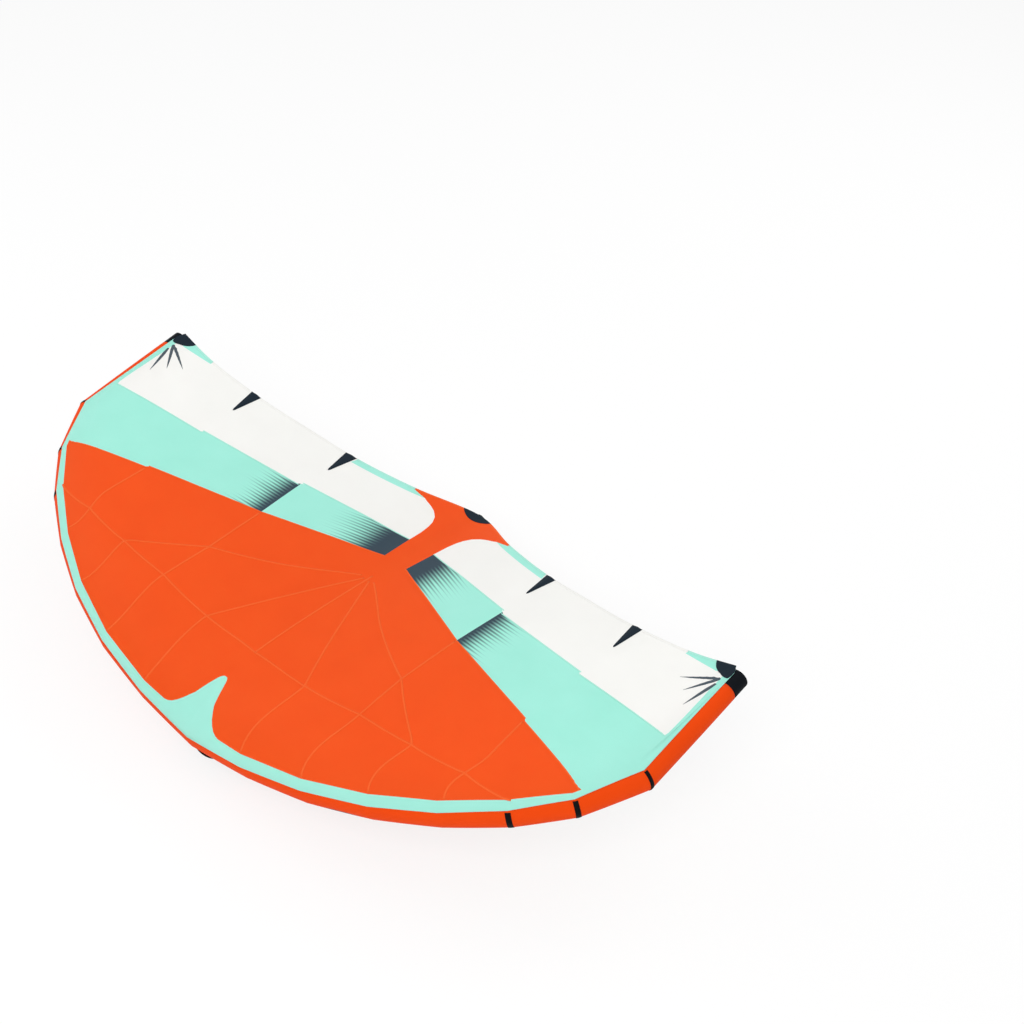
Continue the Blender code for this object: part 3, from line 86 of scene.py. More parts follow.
def tube_frames():
    """Centre, outward and upward axes and run of the tube's section at each station."""
    runs = unit(np.diff(np.vstack([SEAM[1] * (-1, 1, 1), SEAM]), axis=0))
    runs = np.array([unit(a + b) for a, b in zip(runs, [*runs[1:], runs[-1]])])
    outward = unit(np.cross(runs, (0.0, 0.0, 1.0)))
    lift = np.cross(outward, runs)
    turn = np.radians(SEAM_DEGREES)[:, None]
    centres = SEAM - RADII[:, None] * (np.cos(turn) * outward + np.sin(turn) * lift)
    return centres, outward, lift, runs


CENTRES, OUTWARD, LIFT, RUNS = tube_frames()
STATION_LENGTHS = np.linalg.norm(np.diff(SEAM, axis=0), axis=1)


def tube(stations, degrees, offset=0.0, swell=1.0):
    """Points on the leading edge tube in the record's frame, offset outwards from it."""
    stations, degrees, offset = np.broadcast_arrays(stations, degrees, offset)
    place = np.abs(stations)
    first = np.clip(place.astype(int), 0, LAST - 1)
    f = (place - first)[..., None]
    turn = np.radians(degrees)[..., None]
    full = CASING_SWELL * swell * 4 * f * (1 - f)
    ends = []
    for k in (first, first + 1):
        reach = RADII[k][..., None] + offset[..., None] + full
        ends.append(CENTRES[k] + reach * (np.cos(turn) * OUTWARD[k] + np.sin(turn) * LIFT[k]))
    points = ends[0] * (1 - f) + ends[1] * f
    points[..., 0] *= np.where(stations < 0, -1, 1)
    return points + NOSE_SEAM


def radius_at(stations):
    """The tube's radius at stations."""
    return np.interp(np.abs(stations), range(LAST + 1), RADII)


def arc(stations):
    """Distance along the seam from the nose to stations."""
    return np.interp(np.abs(stations), range(LAST + 1), [0, *np.cumsum(STATION_LENGTHS)])


def linear_colour(code):
    """An sRGB hex colour as the linear colour that a shader takes."""
    channels = [int(code[k:k + 2], 16) / 255 for k in (0, 2, 4)]
    return (*[c / 12.92 if c <= 0.04045 else ((c + 0.055) / 1.055) ** 2.4 for c in channels], 1.0)


def add_node(tree, kind, sockets, **settings):
    """A shader node with its settings, and its sockets as values, links or nodes to link."""
    made = tree.nodes.new("ShaderNode" + kind)
    for name, value in settings.items():
        setattr(made, name, value)
    for key, value in sockets.items():
        if isinstance(value, bpy.types.Node):
            value = value.outputs[0]
        if isinstance(value, bpy.types.NodeSocket):
            tree.links.new(value, made.inputs[key])
        else:
            made.inputs[key].default_value = value
    return made


def blank(name):
    """A new material, its node tree and its shader."""
    finish = bpy.data.materials.new(name)
    finish.use_nodes = True
    return finish, finish.node_tree, finish.node_tree.nodes["Principled BSDF"]


def tinted(finish, amount, over, under=None):
    """Blend a finish's colour from under, or from what it has, to over by an amount."""
    tree = finish.node_tree
    colour = tree.nodes["Principled BSDF"].inputs["Base Color"]
    base = linear_colour(under) if under else colour.links[0].from_socket
    tint = add_node(tree, "Mix", {0: amount, 6: base, 7: linear_colour(over)}, data_type="RGBA")
    tree.links.new(tint.outputs[2], colour)
    return finish


def woven(name, colour, shade, grid, line, relief, roughness, thin=0.0):
    """A cloth finish whose ripstop lines stand a grid apart on the piece's Cloth map."""
    finish, tree, shader = blank(name)
    cloth = add_node(tree, "UVMap", {}, uv_map="Cloth")
    axes = add_node(tree, "SeparateXYZ", {0: cloth})
    lines = []
    for axis in (0, 1):
        away = add_node(tree, "Math", {0: axes.outputs[axis], 1: grid / 2}, operation="PINGPONG")
        lines.append(add_node(tree, "MapRange", {0: away, 2: line, 3: 1.0, 4: 0.0}))
    both = add_node(tree, "Math", {0: lines[0], 1: lines[1]}, operation="MAXIMUM")
    place = add_node(tree, "TexCoord", {})
    cloud = add_node(tree, "TexNoise", {"Vector": place.outputs["Object"], "Scale": 5.0, "Detail": 3.0})
    crease = add_node(tree, "TexNoise", {"Vector": place.outputs["Object"], "Scale": 38.0, "Detail": 4.0})
    amount = add_node(tree, "Math", {0: both, 1: 0.45}, operation="MULTIPLY")
    drift = add_node(tree, "MapRange", {0: cloud, 1: 0.3, 2: 0.75, 3: 0.0, 4: 0.35})
    blend = add_node(tree, "Math", {0: amount, 1: drift}, operation="MAXIMUM")
    fine = add_node(tree, "Bump", {"Height": both, "Distance": relief, "Strength": 0.6})
    soft = add_node(tree, "Bump", {"Height": crease, "Distance": CRINKLE, "Strength": 0.5,
                                   "Normal": fine})
    tree.links.new(soft.outputs[0], shader.inputs["Normal"])
    shader.inputs["Roughness"].default_value = roughness
    shader.inputs["Specular IOR Level"].default_value = 0.05
    shader.inputs["Subsurface Weight"].default_value = thin
    shader.inputs["Subsurface Radius"].default_value = (1.0, 1.0, 1.0)
    shader.inputs["Subsurface Scale"].default_value = GLOW_DEPTH
    return tinted(finish, blend, shade, colour)


def bent_grid(name, columns, rows, place, finish, merge=0.00002):
    """A grid bent to place(across, along), both from 0 to 1, with its Cloth map in metres."""
    sheet = bmesh.new()
    cloth = sheet.loops.layers.uv.new("Cloth")
    bmesh.ops.create_grid(sheet, x_segments=columns, y_segments=rows, size=0.5)
    flat = np.array([vert.co for vert in sheet.verts])[:, :2] + 0.5
    points, spans = place(flat[:, 0], flat[:, 1])
    for vert, point in zip(sheet.verts, points.tolist()):
        vert.co = point
    spans = np.asarray(spans).tolist()
    for face in sheet.faces:
        for loop in face.loops:
            loop[cloth].uv = spans[loop.vert.index]
    bmesh.ops.remove_doubles(sheet, verts=sheet.verts, dist=merge)
    return make_piece(name, sheet, finish)


def make_piece(name, sheet, *finishes):
    """A smooth-shaded piece from a bmesh."""
    mesh = bpy.data.meshes.new(name)
    sheet.to_mesh(mesh)
    sheet.free()
    mesh.shade_smooth()
    mesh.set_sharp_from_angle(angle=math.radians(50))
    for finish in finishes:
        mesh.materials.append(finish)
    piece = bpy.data.objects.new(name, mesh)
    bpy.context.scene.collection.objects.link(piece)
    return piece


def reworked(piece, change):
    """Change a piece's mesh with bmesh operators."""
    mesh = bmesh.new()
    mesh.from_mesh(piece.data)
    change(mesh)
    mesh.to_mesh(piece.data)
    mesh.free()
    return piece


def outwards(piece):
    """Turn a closed piece's faces outwards."""
    return reworked(piece, lambda mesh: bmesh.ops.recalc_face_normals(mesh, faces=mesh.faces))


def walled(piece, thickness, offset=-1.0):
    """Give a sheet its wall."""
    solid = piece.modifiers.new("wall", "SOLIDIFY")
    solid.thickness = thickness
    solid.offset = offset


def settle(piece, body, slot, *nodes, wall=0.0, offset=-1.0, outward=True):
    """Give a piece its wall, put it on its body and let it stand for its CAD nodes."""
    if outward:
        outwards(piece)
    if wall:
        walled(piece, wall, offset)
    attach(piece, body)
    if nodes:
        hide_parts(*nodes)
    return piece


def casing_points(limit, offset=0.0, puckers=1.0):
    """A place function for the whole tube between the caps."""
    def place(across, along):
        stations = np.clip((across * 2 - 1) * LAST, -limit, limit)
        degrees = along * 360 + 180
        f = np.abs(stations) % 1
        first = np.clip(np.abs(stations).astype(int), 0, LAST - 1)
        away = np.minimum(f, 1 - f) * STATION_LENGTHS[first]
        ripple = 0.5 + 0.5 * np.sin(np.radians(degrees) * PUCKERS + first)
        depth = PUCKER_DEPTH * puckers * ripple * np.exp(-away / PUCKER_REACH) * (away > 0)
        spans = [arc(stations) * np.sign(stations), np.radians(degrees) * radius_at(stations)]
        return tube(stations, degrees, offset - depth), np.column_stack(spans)
    return place


CAP_STATION = LAST - CAP_LENGTH / STATION_LENGTHS[-1]
# Coated polyester cloth, calendered smooth: a satin face with a fine ripstop grid, drawn
# at its real 6 mm
dacron = woven("coated_polyester", DACRON_ORANGE, DACRON_SHADE, 0.006, 0.0006, 0.00012, 0.6)
VALVE_CENTRE = Vector((0.26104, -0.65834, 0.19721))
VALVE_OPENING = 0.0125
VALVE_PLACE = (0.92, 202.5)
VALVE_FLANGE = 0.0245
PORT_PLACE = (0.44, 187.5)
PORT_FLANGE = 0.012
PORT_OPENING = 0.0062
SEAT_REACH = 0.024
SEAT_DEPTH = 0.0014


def open_hole(piece, centre, radius):
    """Cut a way through a piece's cloth under a fitting."""
    def cut(mesh):
        near = [face for face in mesh.faces if (face.calc_center_median() - centre).length < radius]
        bmesh.ops.delete(mesh, geom=near, context="FACES")
    return reworked(piece, cut)


def pressed(piece, station, degrees, flange):
    """Press the casing flat under a fitting's flange."""
    seat, inner = (Vector(tube(station, degrees, -depth, 0.0)) for depth in (SEAT_DEPTH, SEAT_DEPTH + 0.01))
    normal = (seat - inner).normalized()
    for vert in piece.data.vertices:
        away = vert.co - seat
        height = away.dot(normal)
        side = (away - normal * height).length
        if 0 < height < SEAT_REACH and side < flange + SEAT_REACH:
            share = min((flange + SEAT_REACH - side) / SEAT_REACH, 1.0)
            vert.co -= normal * height * share ** 2 * (3 - 2 * share)


casing = bent_grid("leading_edge_casing", 2 * LAST * TUBE_STEPS, TUBE_SIDES, casing_points(CAP_STATION),
                   dacron)
pressed(casing, *VALVE_PLACE, VALVE_FLANGE)
pressed(casing, *PORT_PLACE, PORT_FLANGE)
open_hole(casing, VALVE_CENTRE, VALVE_OPENING)
settle(casing, "wing", "tube", "le_casing_left", "le_casing_right", wall=CASING_WALL)

# Leading edge bladder
# One airtight tube of clear film that fills both casings, welded shut at the tips.
BLADDER_GAP = 0.0036
BLADDER_FILM = 0.0005
BLADDER_OPENING = 0.0245
BLADDER_STEPS = 4
BLADDER_SIDES = 48


def clouded(name, colour, shade, scale, roughness):
    """A smooth finish whose colour drifts a little in clouds."""
    finish, tree, shader = blank(name)
    place = add_node(tree, "TexCoord", {})
    cloud = add_node(tree, "TexNoise", {"Vector": place.outputs["Object"], "Scale": scale, "Detail": 3.0})
    shader.inputs["Roughness"].default_value = roughness
    return tinted(finish, cloud, shade, colour)


def closed_ends(piece):
    """Close the open ends of a tube."""
    def fill(mesh):
        bmesh.ops.holes_fill(mesh, edges=[edge for edge in mesh.edges if edge.is_boundary], sides=0)
    return reworked(piece, fill)


# Clear polyurethane film: smooth, a little cloudy and grey
clear_film = clouded("polyurethane_film", "C9D2D6", "B4BEC3", 14.0, 0.32)
bladder = bent_grid("leading_edge_bladder", 2 * LAST * BLADDER_STEPS, BLADDER_SIDES,
                    casing_points(CAP_STATION - 0.001, -BLADDER_GAP, 0.0), clear_film)
closed_ends(bladder)
open_hole(bladder, VALVE_CENTRE, BLADDER_OPENING)
settle(bladder, "wing", "bladder", "le_bladder", wall=BLADDER_FILM)

# Tip caps
# Black woven cups sewn over the ends of the tube, with a slightly domed end.
CAP_WALL = 0.0016
CAP_DOME = 0.012
CAP_GAP = 0.0003
BLACK = "10141A"
BLACK_SHADE = "07090A"
DOME_DEGREES = 90.0
SIDES = ((1, "right"), (-1, "left"))
# Coarse textured polyester, matt, with a 4 mm grid
tough_cloth = woven("tough_black_cloth", BLACK, BLACK_SHADE, 0.004, 0.0006, 0.0002, 0.62)


def cap_points(side):
    """A place function for one cap: its sleeve and then its dome."""
    start = CAP_STATION + CAP_GAP / STATION_LENGTHS[-1]

    def place(across, along):
        degrees = along * 360 + 180
        turn = np.radians(degrees)
        sleeve = np.clip(across / 0.5, 0, 1)
        dome = np.radians(np.clip((across - 0.5) / 0.5, 0, 1) * DOME_DEGREES)
        points = tube(side * (start + (LAST - start) * sleeve), degrees, 0.0, 0.0)
        centre = CENTRES[LAST] + NOSE_SEAM
        shrink = (np.cos(dome) - 1) * RADII[LAST]
        ring = np.cos(turn)[:, None] * OUTWARD[LAST] + np.sin(turn)[:, None] * LIFT[LAST]
        shift = shrink[:, None] * ring + np.sin(dome)[:, None] * CAP_DOME * RUNS[LAST]
        shift[:, 0] *= side
        span = across * (CAP_LENGTH + RADII[LAST])
        return points + shift, np.column_stack([span, turn * RADII[LAST]])
    return place


for side, word in SIDES:
    cap = bent_grid(f"tip_cap_{word}", 28, 48, cap_points(side), tough_cloth)
    settle(cap, "wing", "webbing", f"le_tip_cap_{word}", wall=CAP_WALL)

# Reinforcing bands
# Black woven strips sewn round the underside of the tube over its outer mitred joints.
BAND_WIDTH = 0.022
BAND_WALL = 0.0008
BAND_REAR_DEGREES = 135.0
BAND_EDGE_DEGREES = 6.0
BAND_STATIONS = (5, 6, 7)
BAND_GAP = 0.0003
# Narrow-loom strip: dull black with a close 2.5 mm rib
band_cloth = woven("black_band_cloth", "0F1112", BLACK_SHADE, 0.0025, 0.0005, 0.0003, 0.58)


def tube_patch(low, high, first, last, gap):
    """A place function for a patch on the tube between two stations and two angles."""
    def place(across, along):
        stations = low + (high - low) * across
        degrees = first + (last - first) * along
        spans = np.column_stack([arc(stations), np.radians(degrees) * radius_at(stations)])
        return tube(stations, degrees, gap), spans
    return place


def on_tube(name, place, finish, wall, slot, columns, rows, *nodes):
    """A strip that lies on the tube, with its wall outwards."""
    piece = bent_grid(name, columns, rows, place, finish)
    middle = piece.data.vertices[len(piece.data.vertices) // 2]
    side = (math.copysign(1, middle.co.x), 1, 1)
    hearts = [Vector((centre + NOSE_SEAM) * side) for centre in CENTRES]
    heart = min(hearts, key=lambda spot: (spot - middle.co).length)
    if middle.normal.dot(middle.co - heart) < 0:
        piece.data.flip_normals()
    return settle(piece, "wing", slot, *nodes, wall=wall, offset=1.0, outward=False)


for side, word in SIDES:
    for station in BAND_STATIONS:
        half = BAND_WIDTH / 2 / STATION_LENGTHS[station]
        patch = tube_patch(side * (station - half), side * (station + half),
                           SEAM_DEGREES[station] - BAND_EDGE_DEGREES, BAND_REAR_DEGREES - 360, BAND_GAP)
        on_tube(f"joint_band_{station}_{word}", patch, band_cloth, BAND_WALL, "webbing", 6, 72,
                f"le_band_{station}_{word}")

# Printed dashes
# Two long navy marks printed on the front of the tube, one on each side of the nose, that
# taper to a point at both ends. Each is a thin film on the cloth.
DASH_STATIONS = (2.29, 2.80)
DASH_DEGREES = (-26.5, -28.5)
DASH_WIDTH = 0.013
FILM_WALL = 0.00015
FILM_GAP = 0.0001
NAVY_PRINT = "3B4A55"
# Screen-printed ink: flat colour, a little smoother than the weave
navy_ink = clouded("navy_print", NAVY_PRINT, "34414B", 30.0, 0.5)


def dash_points(side):
    """A place function for one tapered dash, from its inner to its outer end."""
    def place(across, along):
        stations = side * (DASH_STATIONS[0] + (DASH_STATIONS[1] - DASH_STATIONS[0]) * across)
        middle = DASH_DEGREES[0] + (DASH_DEGREES[1] - DASH_DEGREES[0]) * across
        width = DASH_WIDTH * np.sin(np.pi * np.clip(across, 0.01, 0.99)) ** 0.7
        degrees = middle + np.degrees((0.5 - along) * width / radius_at(stations))
        return tube(stations, degrees, FILM_GAP), np.column_stack([across, along])
    return place


for side, word in SIDES:
    on_tube(f"printed_dash_{word}", dash_points(side), navy_ink, FILM_WALL, "patch", 24, 3)

# Strut
# A tapered tube of the same orange cloth under the centre line, cut to a saddle where it
# meets the leading edge, closed by a black cap and girdled by four black bands.
STRUT_DEPTH = 0.165
STRUT_RADIUS = 0.096
STRUT_FRONT_Y_SHARES = (0.073, 0.100, 0.140, 0.182, 0.273, 0.349, 0.437, 0.528, 0.589)
STRUT_FRONT_RADIUS_SHARES = (0.51, 0.66, 0.85, 0.966, 1.0, 1.0, 0.99, 0.972, 0.943)
STRUT_FRONT_BELLY_SHARES = (0.70, 0.83, 0.95, 1.0, 0.967, 0.88, 0.73, 0.596, 0.50)
STRUT_REAR_SHARES = (0.655, 0.720, 0.790, 0.860, 0.920, 0.962)
STRUT_REAR_BELLY_SHARES = (0.414, 0.400, 0.392, 0.388, 0.386, 0.384)
STRUT_CAP_LENGTH = 0.082
STRUT_CAP_DOME = 0.003
STRUT_BAND_Y_SHARES = (0.167, 0.316, 0.504, 0.703)
STRUT_BAND_WIDTH = 0.020
STRUT_BAND_OPEN_DEGREES = 14.0
STRUT_SEAT = 0.0006
STRUT_PORT_CENTRE = Vector((0.083189, -0.491858, 0.193688))
STRUT_BLADDER_FRONT = 0.2963
STRUT_BLADDER_GAP = 0.0030
CLOTH = 0.0008
CLOTH_STANDOFF = 0.0022
GAP = 0.0003
WRAP_SHARE = 0.06
CREST_SHARE = 0.22
CAMBER = 0.190
CAMBER_SHARES = (1.0, 0.80, 0.68, 0.51, 0.39, 0.26, 0.16, 0.09, 0.0)
TAIL_FULLNESS = 1.5
LEAVING_DEGREES = (45.0, 48.0, 55.0, 62.0, 69.0, 74.0, 77.0, 84.0, 101.0)
TAIL_X_SHARES = (0.0, 0.180, 0.353, 0.513, 0.640, 0.747, 0.833, 0.907, 0.996)
TAIL_Y_SHARES = (1.004, 0.931, 0.881, 0.851, 0.829, 0.816, 0.808, 0.809, 0.816)
TAIL_Z_SHARES = (0.0, 0.199, 0.363, 0.519, 0.643, 0.755, 0.848, 0.915, 1.006)
TAIL = np.array([TAIL_X_SHARES, TAIL_Y_SHARES, TAIL_Z_SHARES]).T * SIZES


def smooth(table, place):
    """A table of station points or values read along a smooth curve."""
    table = np.asarray(table, float)
    first = table[1] * (-1, 1, 1) if table.ndim > 1 else table[1]
    padded = np.concatenate([[first], table, [2 * table[-1] - table[-2]]])
    i = np.clip(place.astype(int), 0, LAST - 1)
    f = place - i
    if table.ndim > 1:
        f = f[..., None]
    before, a, b, after = (padded[i + k] for k in range(4))
    return 0.5 * (2 * a + (b - before) * f + (2 * before - 5 * a + 4 * b - after) * f ** 2
                  + (3 * a - before - 3 * b + after) * f ** 3)


CRESTS = SEAM * (1 - CREST_SHARE) + TAIL * CREST_SHARE
CRESTS[:, 2] += CAMBER * np.array(CAMBER_SHARES)


def canopy(stations, shares):
    """Points in the middle of the canopy cloth, at shares of the way from seam to tail."""
    stations, shares = np.broadcast_arrays(np.asarray(stations, float), np.asarray(shares, float))
    place = np.minimum(np.abs(stations), LAST)
    seam = np.interp(place, range(LAST + 1), SEAM_DEGREES)
    leaving = np.interp(place, range(LAST + 1), LEAVING_DEGREES)
    wrap = tube(place, seam + (leaving - seam) * np.clip(shares / WRAP_SHARE, 0, 1), CLOTH_STANDOFF)
    height = CAMBER * smooth(CAMBER_SHARES, place)
    crest = smooth(CRESTS, place) + NOSE_SEAM
    foot = crest - height[..., None] * (0, 0, 1)
    tail = smooth(TAIL, place) + NOSE_SEAM
    f = np.clip((shares - CREST_SHARE) / (1 - CREST_SHARE), 0, 1)[..., None]
    rear = foot * (1 - f) + tail * f
    rear[..., 2] += height * (1 - f[..., 0] ** TAIL_FULLNESS)
    start = tube(place, leaving, CLOTH_STANDOFF)
    ahead = tube(place, leaving + 1, CLOTH_STANDOFF)
    reach = np.linalg.norm(crest - start, axis=-1, keepdims=True)
    f = np.clip((shares - WRAP_SHARE) / (CREST_SHARE - WRAP_SHARE), 0, 1)[..., None]
    front = ((2 * f ** 3 - 3 * f ** 2 + 1) * start
             + (f ** 3 - 2 * f ** 2 + f) * unit(ahead - start) * reach
             + (3 * f ** 2 - 2 * f ** 3) * crest
             + (f ** 3 - f ** 2) * unit(tail - foot) * reach)
    shares = shares[..., None]
    points = np.where(shares <= WRAP_SHARE, wrap, np.where(shares <= CREST_SHARE, front, rear))
    points[..., 0] *= np.where(stations < 0, -1, 1)
    return points


def canopy_up(stations, shares):
    """The canopy's upward normals."""
    step = 0.004
    stations, shares = np.broadcast_arrays(np.asarray(stations, float), np.asarray(shares, float))
    side = np.where(stations < 0, -1.0, 1.0)
    inner = np.minimum(np.abs(stations), LAST - step)
    across = canopy(side * (inner + step), shares) - canopy(side * inner, shares)
    along = (canopy(stations, np.minimum(shares + step, 1.0))
             - canopy(stations, np.maximum(shares - step, 0.0)))
    return unit(side[..., None] * np.cross(across, along))


def strut_rows():
    """Distance back, belly height and radius of the strut at its stations."""
    rows = [(back * CENTRE_CHORD, -belly * STRUT_DEPTH, radius * STRUT_RADIUS) for back, belly, radius
            in zip(STRUT_FRONT_Y_SHARES, STRUT_FRONT_BELLY_SHARES, STRUT_FRONT_RADIUS_SHARES)]
    room = CLOTH / 2 + GAP + STRUT_SEAT
    for share, belly in zip(STRUT_REAR_SHARES, STRUT_REAR_BELLY_SHARES):
        low = -belly * STRUT_DEPTH
        top = canopy(0.0, share)[2] - NOSE_SEAM[2] - room
        rows.append((share * CENTRE_CHORD, low, (top - low) / 2))
    tail = (canopy(0.0, 1.0)[2] - NOSE_SEAM[2] - room - low) / 2
    rows.append((CENTRE_CHORD, low, tail))
    rows.append((STRUT_REAR_SHARES[-1] * CENTRE_CHORD + STRUT_CAP_LENGTH, low, tail))
    return np.array(rows)


STRUT_ROWS = strut_rows()
STRUT_END = STRUT_REAR_SHARES[-1] * CENTRE_CHORD


def strut(back, degrees, offset=0.0):
    """Points on the strut at distances back from the nose seam."""
    back, degrees, offset = np.broadcast_arrays(back, degrees, offset)
    belly = np.interp(back, STRUT_ROWS[:, 0], STRUT_ROWS[:, 1])
    radius = np.interp(back, STRUT_ROWS[:, 0], STRUT_ROWS[:, 2])
    turn = np.radians(degrees)
    reach = radius + offset
    points = np.stack([reach * np.cos(turn), back, belly + radius + reach * np.sin(turn)], axis=-1)
    return points + NOSE_SEAM


def strut_points(first, last, offset=0.0, puckers=1.0):
    """A place function for a length of the strut, puckered beside its bands."""
    bands = np.array(STRUT_BAND_Y_SHARES) * CENTRE_CHORD

    def place(across, along):
        back = first + (last - first) * across
        degrees = along * 360 + 90
        away = np.abs(back[:, None] - bands[None, :]).min(axis=1)
        ripple = 0.5 + 0.5 * np.sin(np.radians(degrees) * PUCKERS)
        depth = PUCKER_DEPTH * puckers * ripple * np.exp(-away / PUCKER_REACH)
        points = strut(back, degrees, offset - depth)
        return points, np.column_stack([np.radians(degrees) * STRUT_RADIUS, back])
    return place


def cut_with(piece, name, cutter):
    """Take a cutter's space out of a piece for good."""
    away = piece.modifiers.new(name, "BOOLEAN")
    away.operation = "DIFFERENCE"
    away.solver = "EXACT"
    away.object = cutter
    bpy.context.view_layer.update()
    seen = piece.evaluated_get(bpy.context.evaluated_depsgraph_get())
    mesh = bpy.data.meshes.new_from_object(seen)
    piece.modifiers.clear()
    piece.data = mesh
    bpy.data.objects.remove(cutter)


strut_casing = bent_grid("strut_casing_cloth", 190, 80, strut_points(STRUT_ROWS[0][0], STRUT_END), dacron)
open_hole(strut_casing, STRUT_PORT_CENTRE, PORT_OPENING)
outwards(strut_casing)
walled(strut_casing, CASING_WALL)
saddle = bent_grid("saddle", 4 * TUBE_STEPS, TUBE_SIDES, tube_patch(-2.0, 2.0, 0.0, 360.0, GAP), dacron)
closed_ends(saddle)
outwards(saddle)
cut_with(strut_casing, "saddle", saddle)
settle(strut_casing, "wing", "tube", "strut_casing", outward=False)
strut_bladder = bent_grid("strut_bladder_film", 60, 40,
                          strut_points(STRUT_BLADDER_FRONT, STRUT_END - STRUT_SEAT, -STRUT_BLADDER_GAP, 0.0),
                          clear_film)
closed_ends(strut_bladder)
settle(strut_bladder, "wing", "bladder", "strut_bladder", wall=BLADDER_FILM)


def strut_cap_points(across, along):
    """The sleeve and then the dome of the strut's cap."""
    degrees = along * 360 + 90
    turn = np.radians(degrees)
    back, _, radius = STRUT_ROWS[-1]
    sleeve = np.clip(across / 0.6, 0, 1)
    dome = np.radians(np.clip((across - 0.6) / 0.4, 0, 1) * DOME_DEGREES)
    points = strut(STRUT_END + GAP + (back - STRUT_END - GAP) * sleeve, degrees,
                   (np.cos(dome) - 1) * radius)
    points[:, 1] += STRUT_CAP_DOME * np.sin(dome)
    return points, np.column_stack([turn * radius, across * STRUT_CAP_LENGTH * 1.5])


strut_cap = bent_grid("strut_cap", 24, 40, strut_cap_points, tough_cloth)
settle(strut_cap, "wing", "webbing", "strut_end_cap", wall=CAP_WALL)


def strut_band_points(middle):
    """A place function for one band, open at the top where the canopy or the web passes."""
    def place(across, along):
        back = middle + (across - 0.5) * STRUT_BAND_WIDTH
        degrees = 90 - STRUT_BAND_OPEN_DEGREES - along * (360 - 2 * STRUT_BAND_OPEN_DEGREES)
        return strut(back, degrees, GAP), np.column_stack([back, np.radians(degrees) * STRUT_RADIUS])
    return place


for number, share in enumerate(STRUT_BAND_Y_SHARES, 1):
    place = strut_band_points(share * CENTRE_CHORD)
    band = bent_grid(f"strut_band_cloth_{number}", 5, 80, place, band_cloth)
    low = min(band.data.vertices, key=lambda vert: vert.co.z)
    if low.normal.z > 0:
        band.data.flip_normals()
    settle(band, "wing", "webbing", f"strut_band_{number}", wall=BAND_WALL, offset=1.0, outward=False)

# Canopy
# One skin of ripstop polyester, cut as mint, orange and white panels that are sewn edge to
# edge, stretched from the seam on the tube to the trailing edge. A navy comb is printed on
# the mint panels, fading outwards from each inner seam.
CANOPY_ORANGE = "F2561F"
CANOPY_MINT = "A5EBDA"
CANOPY_WHITE = "F4F4F0"
PRINT_START = (0.25, 2.0)
COLUMNS = ((0, 0), (16, PRINT_START[0]), (44, PRINT_START[1]), (140, LAST))
BAND_ROWS = (14, 56, 26, 24, 4, 2)
TIP_STATION = 7.97
WHITE_END = 6.4
REAR_SHARE = 0.782
TAIL_SHARE = 0.973
CLOTH_END = 0.999
HEM_WIDTH = 0.012
STRIP_SHARES = ((0, 0.151), (0.035, 0.150), (0.07, 0.144), (0.105, 0.132), (0.2, 0.098), (0.31, 0.076),
                (0.42, 0.058), (0.53, 0.045), (1, 0.040), (2, 0.038), (3, 0.041), (4, 0.045), (5, 0.052),
                (6, 0.058), (6.66, 0.070), (7.09, 0.225), (7.3, 0.295), (7.5, 0.385), (7.7, 0.55),
                (7.82, 0.74), (TIP_STATION, 0.9))
TAIL_SIDE = ((REAR_SHARE, 0.25), (0.83, 0.262), (0.86, 0.285), (0.885, 0.32), (0.91, 0.385), (0.932, 0.48),
             (0.95, 0.59), (0.966, 0.71), (0.981, 0.84), (0.993, 0.95), (1, 0.98))
PRINT_SOLID = (0.075, 0.006)
PRINT_LENGTH = (0.27, 0.20)
PRINT_TOOTH = 0.018
PRINT_LINE = (0.71, 0.69)
CLOTH_RELIEF = 0.00008
CLOTH_THIN = 0.35


def read(table, place):
    """A table of pairs read along straight lines."""
    return np.interp(place, [row[0] for row in table], [row[1] for row in table])


def straight(first, last, count):
    """Canopy places along a line that is straight when it is seen from above."""
    f = np.linspace(0, 1, count + 1)[:, None]
    places = np.array(first) * (1 - f) + np.array(last) * f
    ends = canopy(places[[0, -1], 0], places[[0, -1], 1])[:, :2]
    goal = ends[0] * (1 - f) + ends[1] * f
    step = 0.0005
    for _ in range(20):
        here = canopy(places[:, 0], places[:, 1])[:, :2]
        slopes = np.stack([canopy(places[:, 0] + step, places[:, 1])[:, :2] - here,
                           canopy(places[:, 0], places[:, 1] + step)[:, :2] - here], axis=-1) / step
        places += np.linalg.solve(slopes, (goal - here)[..., None])[..., 0] * 0.8
    return [(float(station), float(share)) for station, share in places]


FRONT_STRETCHES = (straight((0.22, 0.683), (2.01, 0.601), 14), straight((2.02, 0.600), (4.14, 0.412), 16),
                   straight((4.16, 0.399), (6.1, 0.060), 18))
REAR_STRETCHES = (straight((0.25, REAR_SHARE), (2.10, 0.787), 14),
                  straight((2.12, 0.772), (4.29, 0.690), 16), straight((4.31, 0.677), (7.09, 0.225), 24))
FRONT_JOIN = [place for line in FRONT_STRETCHES for place in line] + [(8, 0.0)]
REAR_JOIN = [place for line in REAR_STRETCHES for place in line] + [(8, 0.0)]
TAIL_STRIP = [(0, TAIL_SHARE), *straight((WHITE_END, TAIL_SHARE), (7.54, 0.82), 8), (8, 0.73)]


def hem_shares(place):
    """Where the hem's front edge runs."""
    return 1 - HEM_WIDTH / np.linalg.norm(smooth(TAIL, place) - smooth(SEAM, place), axis=-1)


